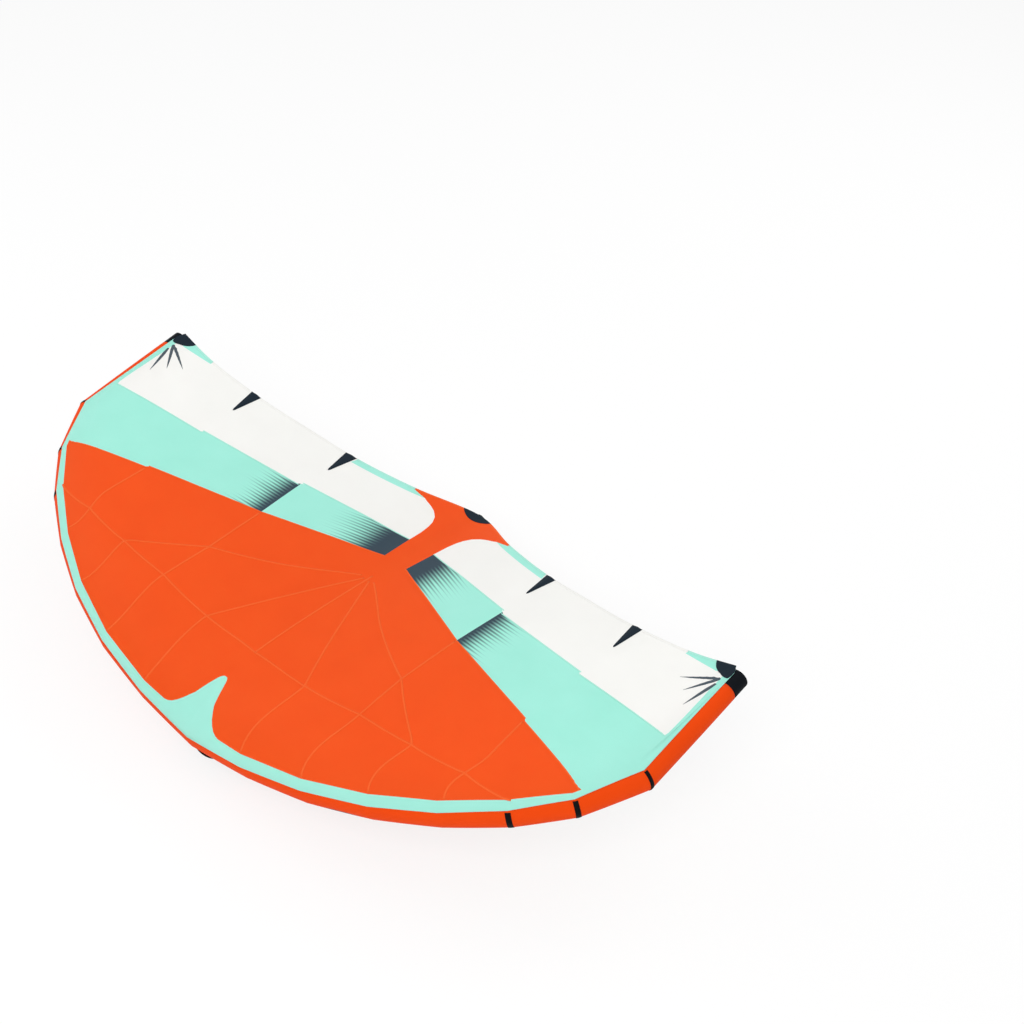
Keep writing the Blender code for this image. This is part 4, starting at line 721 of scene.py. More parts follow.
def panel_edges(place):
    """Shares of the lines that bound the canopy's six bands, front to back, at each station."""
    edges = [np.zeros_like(place), read(STRIP_SHARES, place)]
    for table in (FRONT_JOIN, REAR_JOIN, TAIL_STRIP):
        edges.append(np.maximum(edges[-1], read(table, place)))
    edges.append(np.maximum(edges[-1], hem_shares(place)))
    edges.append(np.ones_like(place))
    return np.array(edges)


def panel_stations(column, band):
    """Stations of the grid's columns, drawn along the slanted ends of the panels."""
    tail = read(TAIL_SIDE, REAR_SHARE + (TAIL_SHARE - REAR_SHARE) * (band - 3))
    inner = np.where(band > 3, np.where(band > 4, 0.75 + 0.23 * np.clip(band - 4, 0, 1), tail),
                     np.interp(band, (1, 2, 3), (0.25, 0.22, 0.25)))
    outer = np.interp(band, (1, 2, 3, 4, 5), (2.0, 2.015, 2.11, 2.02, 2.0))
    place = np.abs(column)
    first, last = PRINT_START
    middle = inner + (outer - inner) * (place - first) / (last - first)
    beyond = np.where(place < last + 1, outer + (last + 1 - outer) * (place - last), place)
    return np.where(place < first, place / first * inner, np.where(place < last, middle, beyond))


def rise_shares(place, band):
    """Shares along the canopy of places in the grid's bands."""
    edges = panel_edges(place)
    k = np.clip(band.astype(int), 0, len(BAND_ROWS) - 1)
    f = band - k
    f = np.where(k == 1, f ** 1.4, f)
    low = np.take_along_axis(edges, k[None], axis=0)[0]
    high = np.take_along_axis(edges, k[None] + 1, axis=0)[0]
    return low + (high - low) * f


def printed_cloth(name):
    """Mint cloth with the comb of tapering navy teeth, laid out on its Print map."""
    finish = woven(name, CANOPY_MINT, "93DCC9", 0.006, 0.0005, CLOTH_RELIEF, 0.5, CLOTH_THIN)
    tree = finish.node_tree
    place = add_node(tree, "UVMap", {}, uv_map="Print")
    axes = add_node(tree, "SeparateXYZ", {0: place})
    tooth = add_node(tree, "Math", {0: axes.outputs[1], 1: PRINT_TOOTH}, operation="DIVIDE")
    number = add_node(tree, "Math", {0: tooth}, operation="FLOOR")
    chance = add_node(tree, "TexWhiteNoise", {"W": number}, noise_dimensions="1D")
    reach = add_node(tree, "MapRange", {0: chance.outputs["Value"], 3: 0.55, 4: 1.0})
    along = add_node(tree, "Math", {0: axes, 1: reach}, operation="DIVIDE")
    away = add_node(tree, "Math", {0: tooth, 1: 0.5}, operation="PINGPONG")
    middle = add_node(tree, "Math", {0: away, 1: 2.0}, operation="MULTIPLY")
    width = add_node(tree, "Math", {0: 1.0, 1: along}, operation="SUBTRACT")
    inside = add_node(tree, "Math", {0: width, 1: middle}, operation="SUBTRACT")
    soft = add_node(tree, "MapRange", {0: inside, 1: -0.5, 2: 0.45, 3: 0.0, 4: 1.0},
                    interpolation_type="SMOOTHSTEP")
    fade = add_node(tree, "MapRange", {0: axes, 1: 0.1, 2: 1.0, 3: 1.0, 4: 0.12})
    teeth = add_node(tree, "Math", {0: soft, 1: fade}, operation="MULTIPLY")
    wash = add_node(tree, "MapRange", {0: axes, 1: -0.02, 2: 0.42, 3: 1.0, 4: 0.0},
                    interpolation_type="SMOOTHSTEP")
    amount = add_node(tree, "Math", {0: teeth, 1: wash}, operation="MAXIMUM")
    return tinted(finish, amount, NAVY_PRINT)


# Ripstop cloth, thin and crisp with a 6 mm grid of thicker threads; some light passes through
# it, so that the underside glows
orange_cloth = woven("orange_ripstop", CANOPY_ORANGE, "E54B1A", 0.006, 0.0005, CLOTH_RELIEF, 0.5, CLOTH_THIN)
mint_cloth = woven("mint_ripstop", CANOPY_MINT, "93DCC9", 0.006, 0.0005, CLOTH_RELIEF, 0.5, CLOTH_THIN)
white_cloth = woven("white_ripstop", CANOPY_WHITE, "E9E9E5", 0.006, 0.0005, CLOTH_RELIEF, 0.5, CLOTH_THIN)
print_cloth = printed_cloth("printed_mint_ripstop")


def print_places(plan, band):
    """Where the canopy's places lie on the inner and the outer comb: outwards, and along the seam."""
    combs = []
    for start, solid, length in zip(PRINT_START, PRINT_SOLID, PRINT_LENGTH):
        inner = panel_stations(np.full_like(band, start), band)
        begin = canopy(inner, rise_shares(inner, band))[:, :2]
        ends = canopy([start + 0.1, start + 1.0], PRINT_LINE)[:, :2]
        run = unit(ends[1] - ends[0])
        away = (plan - begin) @ run
        combs.append(np.column_stack([(away - solid) / length, plan @ (-run[1], run[0]) + 2.0]))
    return combs


def panel_finish(column, row):
    """Which of the canopy's finishes a place has: mint, orange, white or printed mint."""
    if column < PRINT_START[0] and row > 1:
        return 1
    strip = PRINT_START[0] < column < PRINT_START[1] or column > WHITE_END
    return (0, 1, 3, 2, 0 if strip else 2, 0 if strip else 2)[row]


def canopy_sheet():
    """The whole canopy as one grid whose panels are coloured by their band and column."""
    sheet = bmesh.new()
    cloth = sheet.loops.layers.uv.new("Cloth")
    printed = sheet.loops.layers.uv.new("Print")
    rows = np.concatenate([[0], np.cumsum(BAND_ROWS)])
    bmesh.ops.create_grid(sheet, x_segments=2 * COLUMNS[-1][0], y_segments=int(rows[-1]), size=0.5)
    flat = np.array([vert.co for vert in sheet.verts])[:, :2] + 0.5
    half = flat[:, 0] * 2 - 1
    column = read(COLUMNS, np.abs(half) * COLUMNS[-1][0]) * np.sign(half)
    band = np.interp(flat[:, 1] * rows[-1], rows, range(len(rows)))
    place = np.minimum(panel_stations(column, band), TIP_STATION)
    shares = rise_shares(place, band)
    points = canopy(place * np.where(column < 0, -1, 1), shares)
    chord = np.linalg.norm(smooth(TAIL, place) - smooth(SEAM, place), axis=-1)
    spans = np.column_stack([arc(place) * np.sign(column), shares * chord])
    plan = points[:, :2] * np.column_stack([np.where(column < 0, -1, 1), np.ones_like(column)])
    combs = print_places(plan, band)
    for face in sheet.faces:
        middle = sum((flat[vert.index] for vert in face.verts), np.zeros(2)) / 4
        at = read(COLUMNS, abs(middle[0] * 2 - 1) * COLUMNS[-1][0])
        face.material_index = panel_finish(at, np.searchsorted(rows, middle[1] * rows[-1]) - 1)
        comb = combs[int(at > PRINT_START[1])]
        for loop in face.loops:
            loop[cloth].uv = spans[loop.vert.index]
            loop[printed].uv = comb[loop.vert.index]
    for vert, point in zip(sheet.verts, points.tolist()):
        vert.co = point
    bmesh.ops.remove_doubles(sheet, verts=sheet.verts, dist=0.00005)
    area = sum(face.calc_area() for face in sheet.faces)
    return make_piece("canopy", sheet, mint_cloth, orange_cloth, white_cloth, print_cloth), area


def faced(piece, up):
    """Turn a sheet over where its middle doesn't face up, 1, or down, -1."""
    if piece.data.polygons[len(piece.data.polygons) // 2].normal.z * up < 0:
        piece.data.flip_normals()
    return piece


canopy_cloth, CANOPY_AREA = canopy_sheet()
PANELS = [f"canopy_{part}_{word}" for part in ("edge", "front", "middle", "rear") for _, word in SIDES]
settle(faced(canopy_cloth, 1), "wing", "cloth_orange", "canopy_tail", *PANELS, wall=CLOTH, offset=0.0,
       outward=False)

# Seams
# The panels are lapped and sewn: a narrow tape of matching cloth covers each seam, with
# two rows of stitches. A fan of tapes also stiffens the orange panel.
SEAM_WIDTH = 0.009
JOIN_WIDTH = 0.006
SEAM_WALL = 0.0003
SEAM_GAP = 0.00015
SEAM_STEP = 0.002
FACES = ((1, "top"), (-1, "under"))
SEAM_TONE = "F5662F"
SEAM_LINES = (
    ((0, 0.217), (0.98, 0.225), (1.974, 0.227), (2.965, 0.200), (4.13, 0.143), (5.071, 0.049)),
    ((2.010, 0.595), (1.954, 0.391), (1.974, 0.227), (2.0, 0.042)),
    ((4.142, 0.395), (4.130, 0.143), (4.1, 0.050)),
    ((0.05, 0.58), (0.98, 0.225), (1.0, 0.045)),
    ((0.118, 0.585), (1.954, 0.391), (2.965, 0.200), (3.0, 0.046)))


def stitched(name, colour, shade):
    """Cloth tape with a row of stitches near each edge, drawn 3 mm long."""
    finish = woven(name, colour, shade, 0.003, 0.0004, 0.0001, 0.55)
    tree = finish.node_tree
    cloth = add_node(tree, "UVMap", {}, uv_map="Cloth")
    axes = add_node(tree, "SeparateXYZ", {0: cloth})
    off = add_node(tree, "Math", {0: axes.outputs[1]}, operation="ABSOLUTE")
    away = add_node(tree, "Math", {0: off, 1: SEAM_WIDTH * 0.3}, operation="SUBTRACT")
    away = add_node(tree, "Math", {0: away}, operation="ABSOLUTE")
    row = add_node(tree, "Math", {0: away, 1: 0.0005}, operation="LESS_THAN")
    run = add_node(tree, "Math", {0: axes, 1: 0.004}, operation="MODULO")
    run = add_node(tree, "Math", {0: run}, operation="ABSOLUTE")
    run = add_node(tree, "Math", {0: run, 1: 0.003}, operation="LESS_THAN")
    both = add_node(tree, "Math", {0: row, 1: run}, operation="MULTIPLY")
    amount = add_node(tree, "Math", {0: both, 1: 0.6}, operation="MULTIPLY")
    return tinted(finish, amount, shade)


def laid(name, columns, rows, place, finish, face, slot, wall, *nodes):
    """A strip of cloth or film on the canopy's upper or lower face, with its wall outwards."""
    piece = faced(bent_grid(name, columns, rows, place, finish), face)
    return settle(piece, "wing", slot, *nodes, wall=wall, offset=1.0, outward=False)


def ribbon(name, line, side, width, face, finish, slot="cloth_orange", wall=SEAM_WALL, steps=40):
    """A tape that follows a line of canopy places on its upper or lower face."""
    line = np.array(line, float)
    knots = np.arange(len(line))
    marks = [0.0]
    for a, b in zip(line, line[1:]):
        count = max(2, int(np.ceil(max(abs(b[0] - a[0]) * steps, abs(b[1] - a[1]) * 3 * steps))))
        marks += list(marks[-1] + np.arange(1, count + 1) / count)
    marks = np.array(marks)

    def at(mark):
        """The canopy place at a mark on the line."""
        mark = np.clip(mark, 0, knots[-1])
        return np.interp(mark, knots, line[:, 0]) * side, np.interp(mark, knots, line[:, 1])

    lengths = np.linalg.norm(np.diff(canopy(*at(marks)), axis=0), axis=1)

    def place(across, along):
        mark = np.interp(across, np.linspace(0, 1, len(marks)), marks)
        run = canopy(*at(mark + SEAM_STEP)) - canopy(*at(mark - SEAM_STEP))
        up = canopy_up(*at(mark))
        reach = np.interp(across, np.linspace(0, 1, np.size(width)), np.ravel(width)) * (along - 0.5)
        middle = canopy(*at(mark)) + up * face * (CLOTH / 2 + SEAM_GAP)
        span = np.interp(mark, marks, [0, *np.cumsum(lengths)])
        return middle + unit(np.cross(run, up)) * reach[:, None], np.column_stack([span, reach])

    return laid(name, len(marks) - 1, 2, place, finish, face, slot, wall)


orange_tape = stitched("orange_seam_tape", SEAM_TONE, "EC5B24")
mint_tape = stitched("mint_seam_tape", "B2F0E1", "8CD9C4")
white_tape = stitched("white_seam_tape", "F6F6F2", "E9E9E5")
for side, word in SIDES:
    for number, line in enumerate(SEAM_LINES, 1):
        ribbon(f"fan_tape_{number}_{word}", line, side, SEAM_WIDTH, 1, orange_tape)
    for face, where in FACES:
        for number, (front, rear) in enumerate(zip(FRONT_STRETCHES, REAR_STRETCHES), 1):
            ending = f"{where}_{number}_{word}"
            ribbon(f"front_seam_{ending}", front, side, JOIN_WIDTH, face, orange_tape)
            ribbon(f"rear_seam_{ending}", rear, side, JOIN_WIDTH, face, mint_tape, "cloth_mint")
ribbon("centre_tape", ((0, 0.60), (0, 0.217)), 1, SEAM_WIDTH, 1, orange_tape)

# Trailing hem
# The tail edge is folded over twice and stitched, in the colour of the panel it ends.
HEM_WALL = 0.0003
HEM_STEPS = 14


def hem_points(first, last, face):
    """A place function for the fold on one face of the cloth."""
    def place(across, along):
        stations = first + (last - first) * across
        front = hem_shares(np.abs(stations))
        shares = front + (1 - front) * along
        up = canopy_up(stations, np.minimum(shares, CLOTH_END))
        points = canopy(stations, shares) + up * face * (CLOTH / 2 + SEAM_GAP)
        return points, np.column_stack([arc(stations), (along - 0.5) * HEM_WIDTH])
    return place


HEMS = ((0, 0.98, orange_tape), (0.98, PRINT_START[1], mint_tape), (PRINT_START[1], WHITE_END, white_tape),
        (WHITE_END, TIP_STATION, mint_tape))
for side, word in SIDES:
    for number, (first, last, finish) in enumerate(HEMS):
        for face, where in FACES:
            nodes = [f"trailing_hem_{word}"] if (number, face) == (2, 1) else []
            laid(f"hem_{number}_{where}_{word}", int((last - first) * HEM_STEPS), 3,
                 hem_points(side * first, side * last, face), finish, face, "cloth_white", HEM_WALL, *nodes)

# Tip and tail patches
# Navy woven reinforcements sewn on the corners, where the pull on the cloth is greatest.
PATCH_NAVY = "1F2A34"
PATCH_WALL = 0.0006
PATCH_LIFT = CLOTH / 2 + SEAM_GAP + SEAM_WALL + 0.0002
TIP_PATCH = ((0.02, 7.93), (0.1, 7.905), (0.2, 7.88), (0.3, 7.855), (0.43, 7.815), (0.55, 7.765),
             (0.65, 7.71), (0.74, 7.65), (0.835, 7.545), (0.9, 7.468), (0.96, 7.418), (1.0, 7.405))
TAIL_PATCH_STATION = 0.285
TAIL_PATCH_DEPTH = 0.034
navy_patch = woven("navy_patch_cloth", PATCH_NAVY, "1B242C", 0.004, 0.0006, 0.0002, 0.6)


def tip_patch_points(side):
    """A place function for the patch between its rounded inner edge and the tip."""
    def place(across, along):
        shares = TIP_PATCH[0][0] + (CLOTH_END - TIP_PATCH[0][0]) * along ** 1.6
        inner = read(TIP_PATCH, shares)
        stations = side * (inner + (TIP_STATION - inner) * across)
        points = canopy(stations, shares) + canopy_up(stations, shares) * PATCH_LIFT
        return points, np.column_stack([arc(stations), shares * 0.6])
    return place


def tail_patch_points(across, along):
    """A place function for the half round patch at the middle of the tail."""
    stations = (across * 2 - 1) * TAIL_PATCH_STATION
    depth = TAIL_PATCH_DEPTH * np.clip(1 - (stations / TAIL_PATCH_STATION) ** 2, 0, 1)
    shares = 0.9995 - depth * (1 - along)
    points = canopy(stations, shares) + canopy_up(stations, shares) * PATCH_LIFT
    return points, np.column_stack([stations * 0.3, shares * CENTRE_CHORD])


for side, word in SIDES:
    laid(f"tip_patch_cloth_{word}", 16, 110, tip_patch_points(side), navy_patch, 1, "patch", PATCH_WALL,
         f"tip_patch_{word}")
laid("tail_patch_cloth", 40, 10, tail_patch_points, navy_patch, 1, "patch", PATCH_WALL, "tail_patch")

# Tip rays
# Three slim printed rays spread inwards from each tip and narrow to a point.
RAYS = (straight((7.71, 0.575), (6.63, 0.800), 6), straight((7.705, 0.562), (6.925, 0.684), 6),
        straight((7.66, 0.49), (7.115, 0.514), 6))
RAY_WIDTHS = (0.009, 0.015, 0.013, 0.008, 0.001)
for side, word in SIDES:
    for number, line in enumerate(RAYS, 1):
        ribbon(f"tip_ray_{number}_{word}", line, side, RAY_WIDTHS, 1, navy_ink, "patch", FILM_WALL, 60)

# Batten pockets
# Slim navy pockets sewn over the battens at the tail, with a rounded ridge along the
# middle where the strip lies under the cloth.
POCKETS = {"inner": ((2.02, 2.23), (2.09, 0.889)), "outer": ((4.38, 4.69), (4.43, 0.858))}
POCKET_NOSE = 0.14
POCKET_RIDGE = 0.0034


def pocket_points(kind, side, face=1):
    """A place function for a pocket, or for its backing strip under the cloth."""
    (low, high), (nose, depth) = POCKETS[kind]

    def place(across, along):
        spread = POCKET_NOSE * np.sqrt(np.clip(along * 16, 0, 1)) + (1 - POCKET_NOSE) * along
        stations = nose + ((low + high) / 2 - nose) * along + (high - low) * (across - 0.5) * spread
        shares = depth + (CLOTH_END - depth) * along
        ridge = np.sin(np.pi * across) ** 2 * POCKET_RIDGE * np.clip(along * 5, 0, 1)
        stations = stations * side
        up = canopy_up(stations, shares)
        lift = CLOTH / 2 + SEAM_GAP + SEAM_WALL + ridge * (face > 0)
        points = canopy(stations, shares) + up * (face * lift)[:, None]
        return points, np.column_stack([(across - 0.5) * 0.06, along * 0.2])
    return place


# A paler navy strip under the cloth, behind each pocket
navy_backing = woven("navy_backing_cloth", "45535E", "3A4751", 0.004, 0.0006, 0.0002, 0.6)
for side, word in SIDES:
    for kind in POCKETS:
        ending = f"{kind}_{word}"
        laid(f"batten_pocket_cloth_{ending}", 14, 24, pocket_points(kind, side), navy_patch, 1, "patch",
             PATCH_WALL, f"batten_pocket_{ending}")
        laid(f"batten_backing_{ending}", 8, 24, pocket_points(kind, side, -1), navy_backing, -1, "patch",
             SEAM_WALL)

# Nose pad
# A glossy dark wear pad moulded over the underside of the nose, notched where the strut
# meets the tube, held by the same seam as the handle's tabs.
PAD_HALF_WIDTH = 0.104
PAD_FRONT_DEGREES = -46.0
PAD_REAR_DEGREES = -128.0
PAD_END_DEGREES = -92.0
PAD_ROOM = 0.0007
PAD_WALL = 0.0014
NOTCH_REACH = 0.26


def moulded(name, colour, roughness, grain=400.0, relief=0.00005, coat=0.0):
    """Moulded plastic or rubber with a fine pebbled grain, or none where it is glossy."""
    finish, tree, shader = blank(name)
    place = add_node(tree, "TexCoord", {})
    cloud = add_node(tree, "TexNoise", {"Vector": place.outputs["Object"], "Scale": 40.0, "Detail": 3.0})
    level = add_node(tree, "MapRange", {0: cloud, 3: roughness - 0.05, 4: roughness + 0.05})
    pebble = add_node(tree, "TexNoise", {"Vector": place.outputs["Object"], "Scale": grain, "Detail": 2.0})
    bump = add_node(tree, "Bump", {"Height": pebble, "Distance": relief, "Strength": 0.5})
    shader.inputs["Base Color"].default_value = linear_colour(colour)
    tree.links.new(level.outputs[0], shader.inputs["Roughness"])
    tree.links.new(bump.outputs[0], shader.inputs["Normal"])
    shader.inputs["Coat Weight"].default_value = coat
    return finish


pad_rubber = moulded("glossy_nose_pad", "14181B", 0.22, 900.0, 0.00001, 0.3)


def pad_points(across, along):
    """The pad's outline on the tube: straight in front, swept in behind."""
    share = np.abs(across * 2 - 1)
    stations = (across * 2 - 1) * PAD_HALF_WIDTH / SEAM[1][0]
    rear = PAD_REAR_DEGREES + (PAD_END_DEGREES - PAD_REAR_DEGREES) * share ** 2
    degrees = PAD_FRONT_DEGREES + (rear - PAD_FRONT_DEGREES) * along
    points = tube(stations, degrees, GAP + PAD_ROOM)
    return points, np.column_stack([across * PAD_HALF_WIDTH * 2, np.radians(degrees) * NOSE_RADIUS])


pad = faced(bent_grid("nose_pad_skin", 48, 36, pad_points, pad_rubber), -1)
walled(pad, PAD_WALL, 1.0)
notch = bent_grid("pad_notch", 20, 64, strut_points(STRUT_ROWS[0][0], NOTCH_REACH, PAD_ROOM, 0.0),
                  pad_rubber)
closed_ends(notch)
outwards(notch)
cut_with(pad, "notch", notch)
settle(pad, "wing", "plastic", "nose_pad", outward=False)

# Nose tabs
# Two tabs of black webbing that carry the nose handle's keepers, sewn to the casing.
TAB_WIDTH = 0.024
TAB_X = 0.126
TAB_DEGREES = (-48.0, -96.0)
TAB_WALL = 0.0010
# Narrow woven webbing with a 1.5 mm rib, drawn at its real size
webbing = woven("black_webbing", "131618", BLACK_SHADE, 0.0015, 0.0004, 0.0003, 0.6)
for side, word in SIDES:
    ends = [side * (TAB_X + k * TAB_WIDTH / 2) / SEAM[1][0] for k in (-1, 1)]
    on_tube(f"nose_tab_webbing_{word}", tube_patch(*ends, *TAB_DEGREES, GAP), webbing, TAB_WALL, "webbing",
            6, 20, f"nose_tab_{word}")

# Handles
# Soft carrying loops: padded cloth over a webbing core, wide and full at the grip and
# drawn in to flat webbing at both ends, where a pin lies in its keeper.
KEEPERS = [np.array(place) for place in
           ((0, -0.6086, 0.04738), (0, -0.34099, 0.05876), (0, -0.00334, 0.10633), (0, 0.35406, 0.14341))]
NOSE_KEEPER = np.array((0.126, -0.81022, 0.09156))
HANDLE_WIDTH = 0.042
HANDLE_THICKNESS = 0.013
NOSE_HANDLE_WIDTH = 0.032
NOSE_HANDLE_THICKNESS = 0.008
SAGS = (0.047, 0.052, 0.050)
NOSE_HANGING_DEGREES = -56.0
KEEPER_LENGTH = 0.018
PIN_RADIUS = 0.0040
HEAD_RADIUS = 0.0058
HEAD_LENGTH = 0.004
HEAD_PLAY = 0.001
GRIP_SQUARENESS = 0.75
HANDLE_HALF_FORM = ((0, 0.30, 0.42), (0.05, 0.50, 0.26), (0.13, 0.60, 0.26), (0.20, 0.92, 0.85),
                    (0.31, 1, 1))
PIN_SHARE = 0.1
PIN_MARKS = (0, 0.02, 0.04, 0.045, PIN_SHARE)
# Padded cloth over foam: dull black, a 2 mm weave
padded_cloth = woven("padded_black_cloth", "15181B", BLACK_SHADE, 0.002, 0.0005, 0.0003, 0.62)


def handle_points(start, end, down, sag, width, thickness):
    """A place function along a handle, its pin ends included, and round its section."""
    run = unit(end - start)
    sideways = unit(np.cross(run, down))
    down = np.cross(sideways, run)
    half = KEEPER_LENGTH / 2 + HEAD_PLAY
    first = start + run * (half + PIN_RADIUS)
    last = end - run * (half + PIN_RADIUS)
    span = np.linalg.norm(last - first)
    form = np.array(HANDLE_HALF_FORM)

    def place(across, along):
        f = np.clip((across - PIN_SHARE) / (1 - 2 * PIN_SHARE), 0, 1)
        turn = along * math.tau
        grip = (across >= PIN_SHARE) & (across <= 1 - PIN_SHARE)
        slope = unit(run * span + down * (sag * 4 * (1 - 2 * f))[:, None])
        rise = -unit(np.cross(slope, sideways))
        centre = first + (last - first) * f[:, None] + down * (sag * 4 * f * (1 - f))[:, None]
        wide, deep = (np.interp(np.minimum(f, 1 - f), form[:, 0], form[:, k]) for k in (1, 2))
        wide, deep = wide * width / 2, deep * thickness / 2
        c, s = np.cos(turn), np.sin(turn)
        body = (centre + sideways * (wide * np.sign(c) * np.abs(c) ** GRIP_SQUARENESS)[:, None]
                + rise * (deep * np.sign(s) * np.abs(s) ** GRIP_SQUARENESS)[:, None])
        reach = np.minimum(across, 1 - across)
        step = np.interp(reach, PIN_MARKS, (half + HEAD_LENGTH, half + HEAD_LENGTH, half, half, -half))
        radius = np.interp(reach, PIN_MARKS, (0.001, HEAD_RADIUS, HEAD_RADIUS, PIN_RADIUS, PIN_RADIUS))
        near = across < 0.5
        base = np.where(near[:, None], start, end)
        side = np.where(near, -1.0, 1.0)
        pin = (base + run * (side * step)[:, None] + sideways * (radius * c)[:, None]
               + down * (-radius * s)[:, None])
        points = np.where(grip[:, None], body, pin)
        return points, np.column_stack([f * span, along * 2 * (width + thickness)])
    return place


def stuffed(name, body, points):
    """One handle: a closed padded loop on its own body."""
    piece = bent_grid(name, 100, 40, points, padded_cloth, 0.00005)
    closed_ends(piece)
    settle(piece, body, "webbing", body)
    return piece


under = np.array((0.0, 0.0, -1.0))
stuffed("front_grip_loop", "front_handle",
        handle_points(KEEPERS[0], KEEPERS[1], under, SAGS[0], HANDLE_WIDTH, HANDLE_THICKNESS))
stuffed("rear_grip_loop", "rear_handle",
        handle_points(KEEPERS[2], KEEPERS[3], under, SAGS[1], HANDLE_WIDTH, HANDLE_THICKNESS))
lean = math.radians(NOSE_HANGING_DEGREES)
ahead = np.array((0.0, -math.cos(lean), math.sin(lean)))
stuffed("nose_grip_loop", "nose_handle",
        handle_points(NOSE_KEEPER * (-1, 1, 1), NOSE_KEEPER, ahead, SAGS[2], NOSE_HANDLE_WIDTH,
                      NOSE_HANDLE_THICKNESS))


def dress(finish, *nodes):
    """Give CAD nodes their finish."""
    for node in nodes:
        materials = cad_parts[node].data.materials
        materials.clear()
        materials.append(finish)


dress(moulded("black_keeper", "16191B", 0.5), "handle_keeper_1", "handle_keeper_2", "handle_keeper_3",
      "handle_keeper_4", "nose_keeper_left", "nose_keeper_right")

# Battens
# Flat pultruded glass-fibre strips inside the pockets.
BATTENS = [f"batten_{kind}_{word}" for kind in POCKETS for _, word in SIDES]
dress(moulded("glass_fibre", "55595C", 0.4), *BATTENS)

# Inflation valve and hose
# A moulded black valve on the tube with a hinged cap, and a short rubber hose that fills
# the strut from the leading edge through a moulded port at each end.
HOSE_RADIUS = 0.0080
HOSE_ROUTE = ((0.1224, -0.6424, 0.2073), (0.1226, -0.6265, 0.2053), (0.1233, -0.6136, 0.2044),
              (0.1248, -0.6005, 0.2044), (0.1267, -0.5874, 0.2053), (0.1289, -0.5745, 0.2068),
              (0.1311, -0.5618, 0.2086), (0.1329, -0.5498, 0.2106), (0.1342, -0.5384, 0.2125),
              (0.1347, -0.5279, 0.2142), (0.134, -0.5184, 0.2152), (0.132, -0.5101, 0.2156),
              (0.1284, -0.5033, 0.2149), (0.1229, -0.498, 0.2131), (0.1152, -0.4945, 0.2098),
              (0.105, -0.4929, 0.2049), (0.0908, -0.4922, 0.1976))
dress(moulded("black_valve", "15181A", 0.38), "valve_body", "valve_cap", "valve_cap_pin", "hose_port_nose",
      "hose_port_strut")
hose_rubber = moulded("black_hose", "1B1E20", 0.45, 600.0, 0.00004)
curve = bpy.data.curves.new("strut_fill_hose", "CURVE")
curve.dimensions = "3D"
curve.bevel_depth = HOSE_RADIUS
curve.bevel_resolution = 6
curve.use_fill_caps = True
curve.materials.append(hose_rubber)
spline = curve.splines.new("POLY")
spline.points.add(len(HOSE_ROUTE) - 1)
for spot, place in zip(spline.points, HOSE_ROUTE):
    spot.co = (*place, 1)
hose = bpy.data.objects.new("strut_fill_hose", curve)
bpy.context.scene.collection.objects.link(hose)
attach(hose, "wing")
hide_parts("pump_hose")

# Strut web
# A wall of the canopy's orange cloth that ties the canopy to the top of the strut where
# the two stand apart behind the leading edge.
WEB_END_SHARE = 0.537
WEB_WALL = 0.0010
WEB_FRONT = 0.165


def web_points(across, along):
    """From the tube's back and the strut's top up to the underside of the canopy."""
    back = WEB_FRONT + (WEB_END_SHARE * CENTRE_CHORD - WEB_FRONT) * across
    low = strut(back, 90.0, GAP)
    ahead = low[:, 1] - CENTRES[0][1] - NOSE_SEAM[1]
    bulge = np.sqrt(np.maximum((NOSE_RADIUS + 2 * GAP) ** 2 - ahead ** 2, 0))
    low[:, 2] = np.maximum(low[:, 2], CENTRES[0][2] + NOSE_SEAM[2] + bulge)
    trials = np.linspace(0, 1, 400)
    line = canopy(np.zeros_like(trials), trials)
    high = np.interp(low[:, 1], line[:, 1], line[:, 2]) - CLOTH / 2 - GAP
    points = low.copy()
    points[:, 2] = low[:, 2] + np.maximum(high - low[:, 2], 0.0005) * along
    return points, np.column_stack([back, points[:, 2]])


web = bent_grid("strut_web_cloth", 90, 12, web_points, orange_cloth)
settle(web, "wing", "cloth_orange", "strut_web", wall=WEB_WALL, offset=0.0, outward=False)

# Studio
# A plain pale floor under soft light, seen from where the photograph was taken.
CAMERA_PLACE = (3.5734, -3.35693, 5.28458)
CAMERA_RIGHT = (0.76234, 0.64626, 0.03439)
CAMERA_DOWN = (0.45401, -0.49618, -0.74005)
CAMERA_FORWARD = (-0.46121, 0.57979, -0.67167)
CAMERA_LENS = 56.1
FLOOR_REACH = 60.0
FLOOR_WHITE = "FFFFFF"
FLOOR_GLOW = 0.8
SKY_LEVEL = 0.60
BOXES = (("key_box", (2.5, -4.5, 6.5), 240), ("fill_box", (-5.5, -1.0, 5.0), 88),
         ("back_box", (1.0, 6.0, 5.0), 100))
BOX_SIZE = 4.0
BOX_TARGET = Vector((0, 0, 0.3))


def seen_plainly(tree):
    """1 for what the camera sees, also in shiny or clear things, and 0 for light on the object."""
    rays = add_node(tree, "LightPath", {}).outputs
    seen = add_node(tree, "Math", {0: rays["Is Camera Ray"], 1: rays["Is Glossy Ray"]}, operation="MAXIMUM")
    seen = add_node(tree, "Math", {0: seen, 1: rays["Is Transmission Ray"]}, operation="MAXIMUM")
    return seen


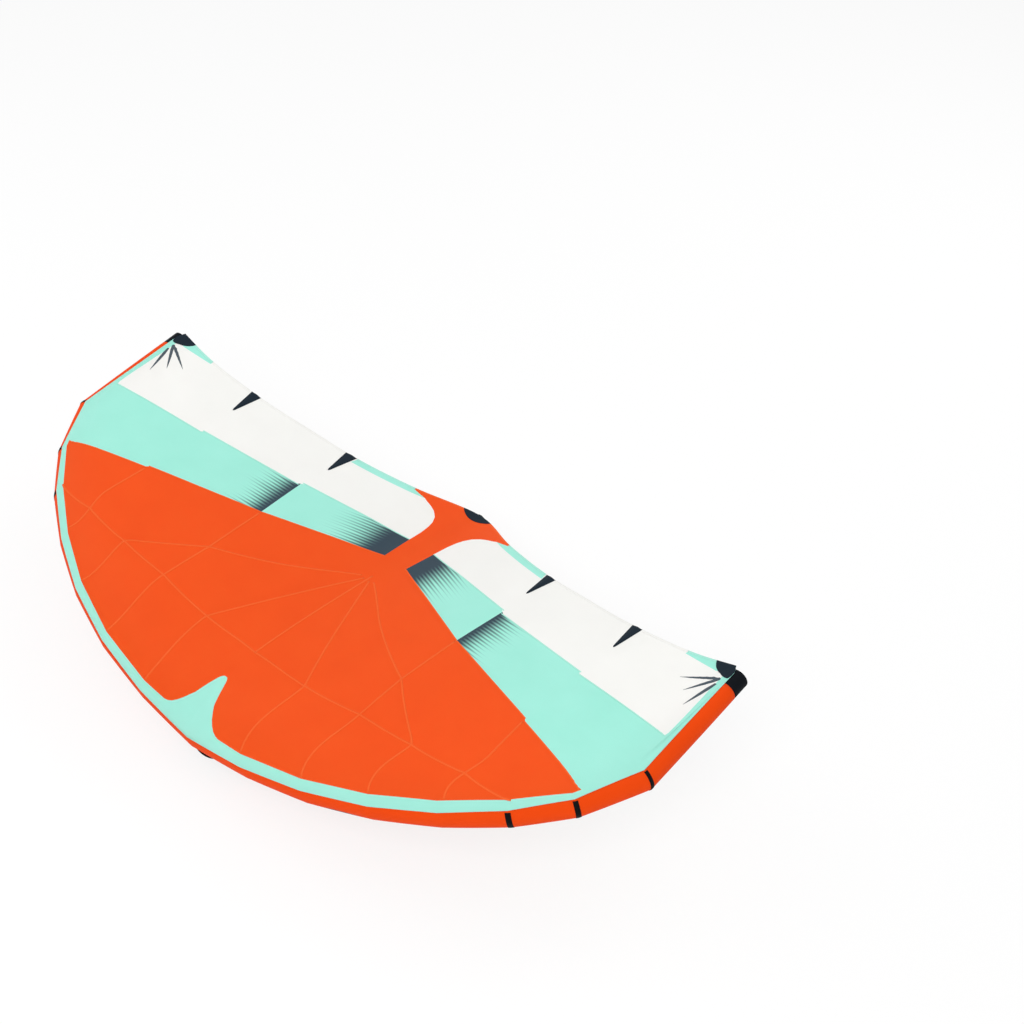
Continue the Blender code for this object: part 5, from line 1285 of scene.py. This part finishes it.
def floor_finish():
    """Matt white paper that the camera sees as white, with the wing's soft shadow on it."""
    finish, tree, shader = blank("white_paper")
    shader.inputs["Base Color"].default_value = linear_colour(FLOOR_WHITE)
    shader.inputs["Roughness"].default_value = 0.9
    shader.inputs["Specular IOR Level"].default_value = 0.0
    glow = add_node(tree, "Emission", {"Color": linear_colour(FLOOR_WHITE), "Strength": 1.0})
    share = add_node(tree, "Math", {0: seen_plainly(tree), 1: FLOOR_GLOW}, operation="MULTIPLY")
    both = add_node(tree, "MixShader", {0: share, 1: shader, 2: glow})
    tree.links.new(both.outputs[0], tree.nodes["Material Output"].inputs["Surface"])
    return finish


floor_sheet = bmesh.new()
bmesh.ops.create_grid(floor_sheet, x_segments=1, y_segments=1, size=FLOOR_REACH)
floor = make_piece("floor", floor_sheet, floor_finish())
floor.data.transform(Matrix.Translation((0, 0, -0.001)))

world = bpy.data.worlds.new("studio")
world.use_nodes = True
bpy.context.scene.world = world
sky = world.node_tree
level = add_node(sky, "MapRange", {0: seen_plainly(sky), 3: SKY_LEVEL, 4: 1.0})
sky.links.new(level.outputs[0], sky.nodes["Background"].inputs["Strength"])
sky.nodes["Background"].inputs["Color"].default_value = (1.0, 1.0, 1.0, 1.0)
for name, place, power in BOXES:
    lamp = bpy.data.lights.new(name, "AREA")
    lamp.shape = "SQUARE"
    lamp.size = BOX_SIZE
    lamp.energy = power
    box = bpy.data.objects.new(name, lamp)
    bpy.context.scene.collection.objects.link(box)
    box.location = place
    box.rotation_mode = "QUATERNION"
    box.rotation_quaternion = (BOX_TARGET - Vector(place)).to_track_quat("-Z", "Y")

camera_data = bpy.data.cameras.new("camera")
camera_data.sensor_fit = "HORIZONTAL"
camera_data.sensor_width = 36.0
camera_data.lens = CAMERA_LENS
camera_data.clip_end = 200.0
camera = bpy.data.objects.new("camera", camera_data)
bpy.context.scene.collection.objects.link(camera)
turn = Matrix((CAMERA_RIGHT, [-x for x in CAMERA_DOWN], [-x for x in CAMERA_FORWARD])).transposed()
camera.matrix_world = Matrix.Translation(CAMERA_PLACE) @ turn.to_4x4()
bpy.context.scene.camera = camera
bpy.context.scene.view_settings.view_transform = "Standard"
